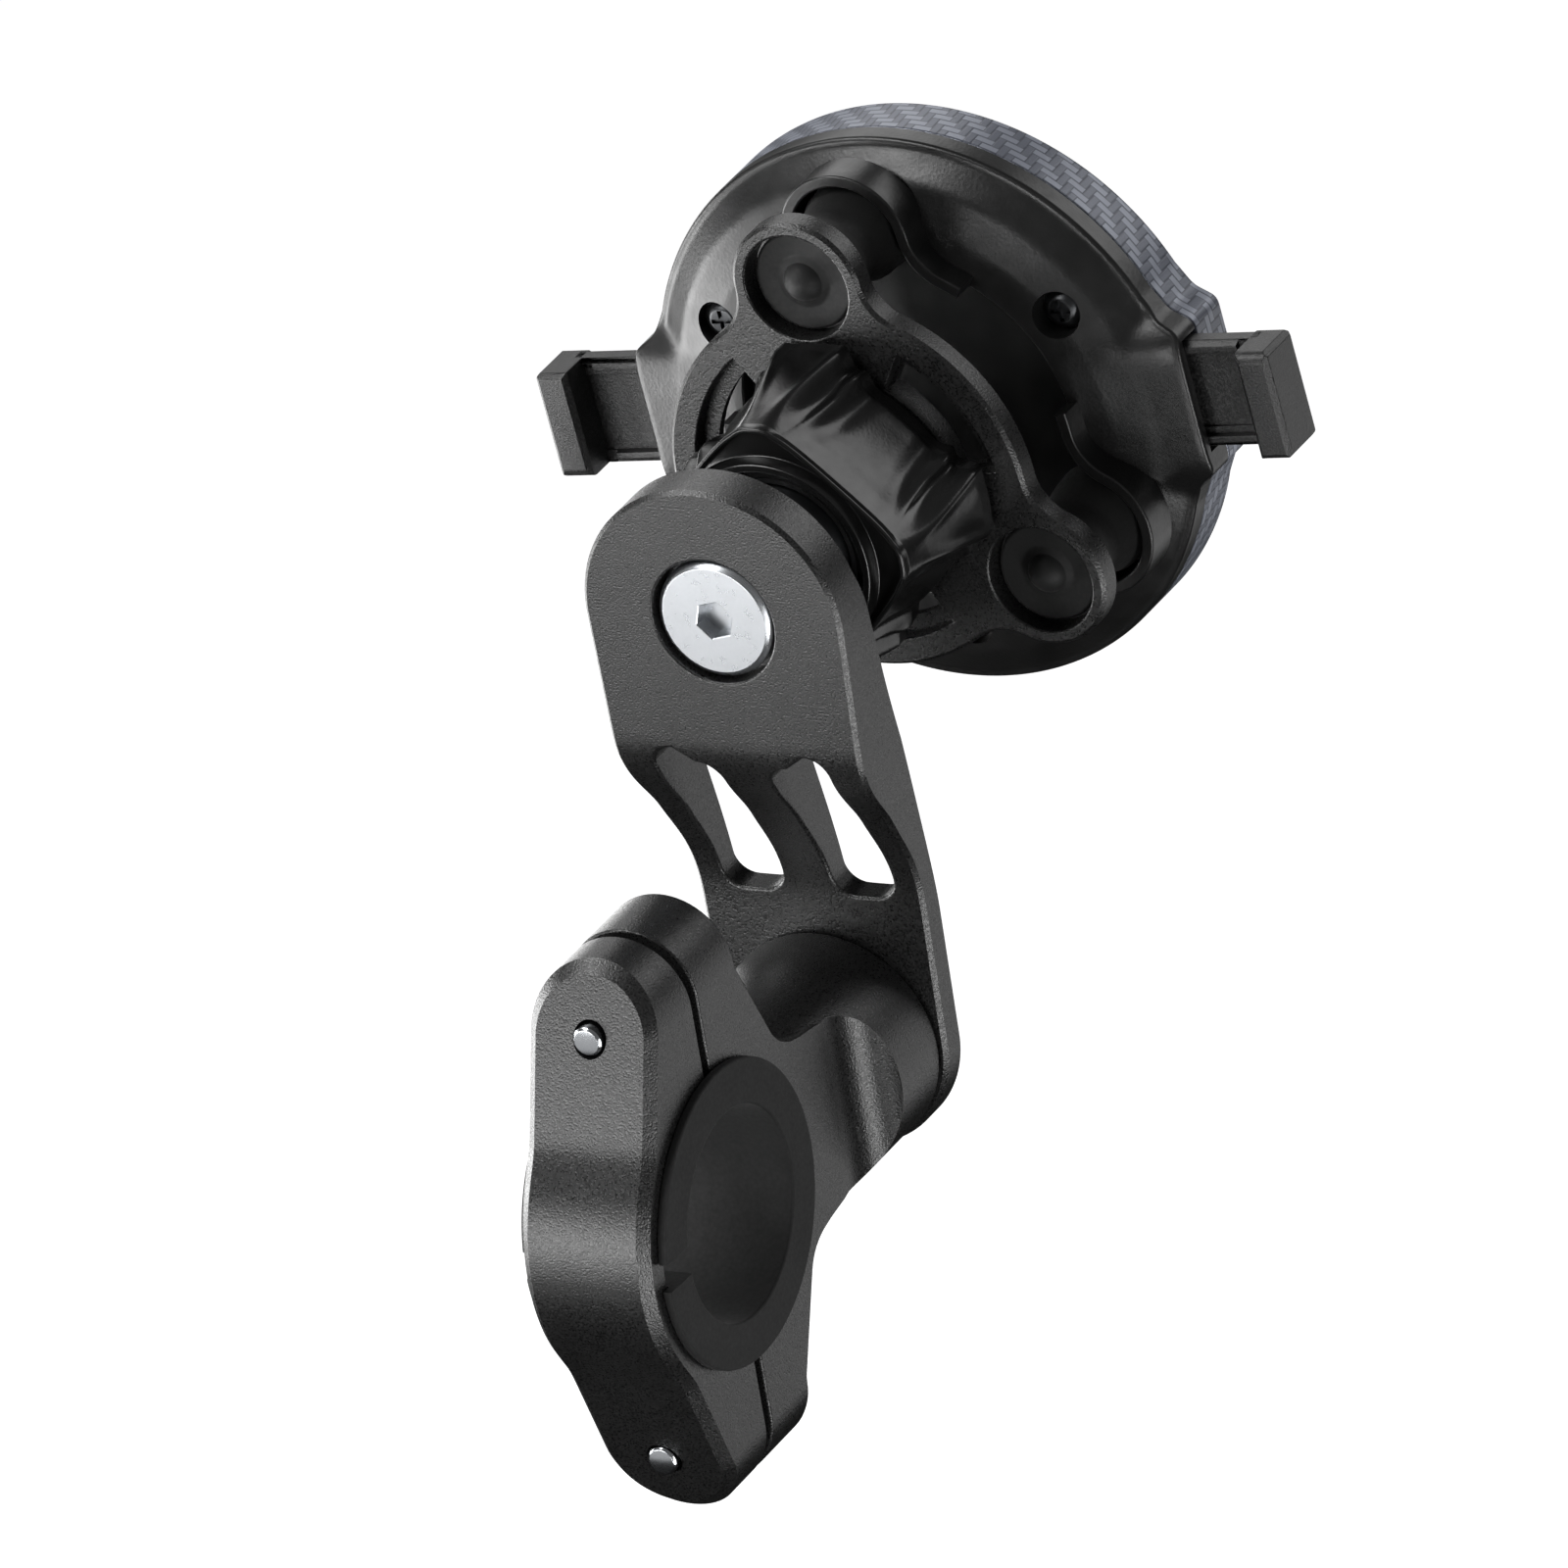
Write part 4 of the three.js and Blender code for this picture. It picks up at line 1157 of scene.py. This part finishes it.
place(clamp_cap(), "cap", "clamp", METAL, stands_for=["clamp_cap"])
place(clamp_base(), "base", "clamp", METAL, stands_for=["clamp_base"])
place(rubber_sleeve(), "sleeve", "clamp", SLEEVE, stands_for=["rubber_sleeve"])
for side, height in (("upper", EAR_Z), ("lower", -EAR_Z)):
    node = "clamp_screw_" + side
    place(clamp_screw(height), side + "_screw", "clamp", STEEL, stands_for=[node])

place(arm_bracket(), "bracket", "arm", METAL, stands_for=["arm_bracket"])
top_bolt = low_bolt(HEAD_R, 28.1, 2.2, 2.8, 44, 3.7)
place(top_bolt, "ball_bolt", "arm", CHROME, JOINT, ["arm_bolt"])
pivot = moved(low_bolt(5, -FOOT_REAR - 2.9, 2.2, 2.6, -24, 3), Matrix.Rotation(math.pi, 4, "Z"))
place(pivot, "foot_bolt", "arm", STEEL, stands_for=["pivot_bolt"])
washer = turned([(2.9, 0), (6.4, 0), (6.4, 0.5), (2.9, 0.5)], 96, 0.1, 2)
moved(washer, Matrix.Translation((0, FOOT_REAR + 0.1, 0)))
place(washer, "foot_washer", "arm", STEEL, stands_for=["pivot_washer"])
washer = turned([(3.1, 0), (6.4, 0), (6.4, 0.8), (3.1, 0.8)], 96, 0.15, 2)
moved(washer, Matrix.Translation((0, ARM_REAR + 0.15, 0)))
place(washer, "ball_washer", "arm", STEEL, JOINT, ["stem_washer"])
place(ball_stem(), "ball", "arm", DARK_STEEL, JOINT, ["ball_stem"])
place(ball_socket(), "socket_cup", "socket", GLOSS, JOINT, ["ball_socket"])
place(lock_nut(), "ring_nut", "nut", GLOSS, JOINT, ["lock_nut"])

place(damper_plate(), "plate", "damper", METAL, HOLDER, ["damper_plate"])
for i, degrees in enumerate(LOBES):
    node = f"grommet_{i + 1}"
    place(grommet(degrees), f"plug_{i + 1}", "holder", PLUG, HOLDER, [node])
for i, degrees in enumerate(SCREWS):
    node = f"cover_screw_{i + 1}"
    place(cover_screw(degrees), f"shell_screw_{i + 1}", "holder", DARK_STEEL, HOLDER, [node])
place(back_cover(), "shell", "holder", COVER, HOLDER, ["back_cover"])
housing = front_housing()
weave_places(housing)
place(housing, "carbon_housing", "holder", CARBON, HOLDER, ["front_housing"])
place(front_pad(), "rest_pad", "holder", PAD, HOLDER, ["front_pad"])

for side, turn in (("right", ORIGIN), ("left", half_turn())):
    body = side + "_jaw"
    place(moved(jaw(), turn), side + "_slider", body, JAW, HOLDER, ["jaw_" + side])
    place(moved(finger_pad(), turn), side + "_grip", body, PAD, HOLDER, ["finger_pad_" + side])

# CAD nodes inside the mount keep their shape and get a finish.
INSIDE = {
    "ball_seat": COVER,
    "grommet_pin_1": STEEL,
    "grommet_pin_2": STEEL,
    "grommet_pin_3": STEEL,
    "pinion_gear": BRASS,
    "pinion_axle": STEEL,
    "pinion_spring": STEEL,
}
for name, material in INSIDE.items():
    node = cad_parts[name]
    node.data.materials.clear()
    node.data.materials.append(material)

# ---------- floor, light and camera ----------


def panel(name, place_at, target, width, height, radiance):
    """A soft box, placed in millimetres, of an even radiance."""
    lamp = bpy.data.lights.new(name, "AREA")
    lamp.shape = "RECTANGLE"
    lamp.size, lamp.size_y = width * MM, height * MM
    lamp.energy = radiance * math.pi * width * height * MM * MM
    ob = bpy.data.objects.new(name, lamp)
    at = Vector(place_at) * MM
    ob.location = at
    ob.rotation_euler = (Vector(target) * MM - at).to_track_quat("-Z", "Y").to_euler()
    ob.visible_camera = False
    bpy.context.scene.collection.objects.link(ob)


floor_mesh = bpy.data.meshes.new("floor")
size = 6.0
floor_z = -0.16
floor_mesh.from_pydata(
    [(-size, -size, floor_z), (size, -size, floor_z), (size, size, floor_z), (-size, size, floor_z)],
    [],
    [(0, 1, 2, 3)],
)
floor = bpy.data.objects.new("floor", floor_mesh)
bpy.context.scene.collection.objects.link(floor)
paint = Shader("pale_floor")
paint.set(
    base_color=paint.ramp(paint.noise(60, 2), grey(0.86), grey(0.88)),
    roughness=0.9,
    specular_ior_level=0.1,
    emission_color=grey(1),
    emission_strength=0.85,
)
floor_mesh.materials.append(paint.material)
floor.visible_glossy = False
floor.visible_diffuse = False

world = bpy.data.worlds.new("studio")
bpy.context.scene.world = world
world.use_nodes = True
sky = world.node_tree
way = sky.nodes.new("ShaderNodeTexCoord")
split = sky.nodes.new("ShaderNodeSeparateXYZ")
shade = sky.nodes.new("ShaderNodeMapRange")
shade.interpolation_type = "SMOOTHSTEP"
for key, value in {"From Min": -0.35, "From Max": 0.25, "To Min": 0.01, "To Max": 0.14}.items():
    shade.inputs[key].default_value = value
sky.links.new(way.outputs["Generated"], split.inputs[0])
sky.links.new(split.outputs["Z"], shade.inputs["Value"])
sky.links.new(shade.outputs["Result"], sky.nodes["Background"].inputs["Strength"])
sky.nodes["Background"].inputs["Color"].default_value = (1, 1, 1, 1)

panel("front_left", (-145, -262, 14), (0, 10, 25), 220, 120, 7.5)
panel("front_low", (-141, -203, -77), (0, 28, 52), 200, 105, 0.5)
panel("front_right", (66, -230, -78), (0, 0, 30), 80, 110, 5)
panel("left_low", (-170, 10, 14), (-25, 74, 58), 90, 110, 10)
panel("left_back", (-190, 170, -20), (-10, 70, 50), 130, 180, 3)
panel("right_up", (170, 292, -28), (20, 50, 50), 210, 112, 1.0)
panel("right_low", (155, 250, -142), (5, 10, 0), 210, 125, 0.9)
panel("right_back", (147, 270, 213), (10, 55, 60), 200, 160, 2)
panel("top_back", (-190, 330, 260), (0, 40, 40), 260, 220, 1.7)
panel("top_left", (-141, -95, 275), (0, 30, 50), 200, 90, 9)
panel("edge_right", (225, -107, -80), (0, 20, 20), 80, 200, 9)

camera = bpy.data.cameras.new("camera")
camera.lens = 675
camera.sensor_width = 36
camera.clip_start, camera.clip_end = 0.1, 60
view = bpy.data.objects.new("camera", camera)
bpy.context.scene.collection.objects.link(view)
right = Vector((0.87987, 0.44899, -0.15565))
up = Vector((-0.07408, 0.45313, 0.88836))
back = Vector((0.4694, -0.77011, 0.43196))
place_at = Vector((1.39233, -2.24832, 1.31074))
view.matrix_world = Matrix(
    [[right[i], up[i], back[i], place_at[i]] for i in range(3)] + [[0, 0, 0, 1]]
)
bpy.context.scene.camera = view
bpy.context.scene.view_settings.view_transform = "Standard"
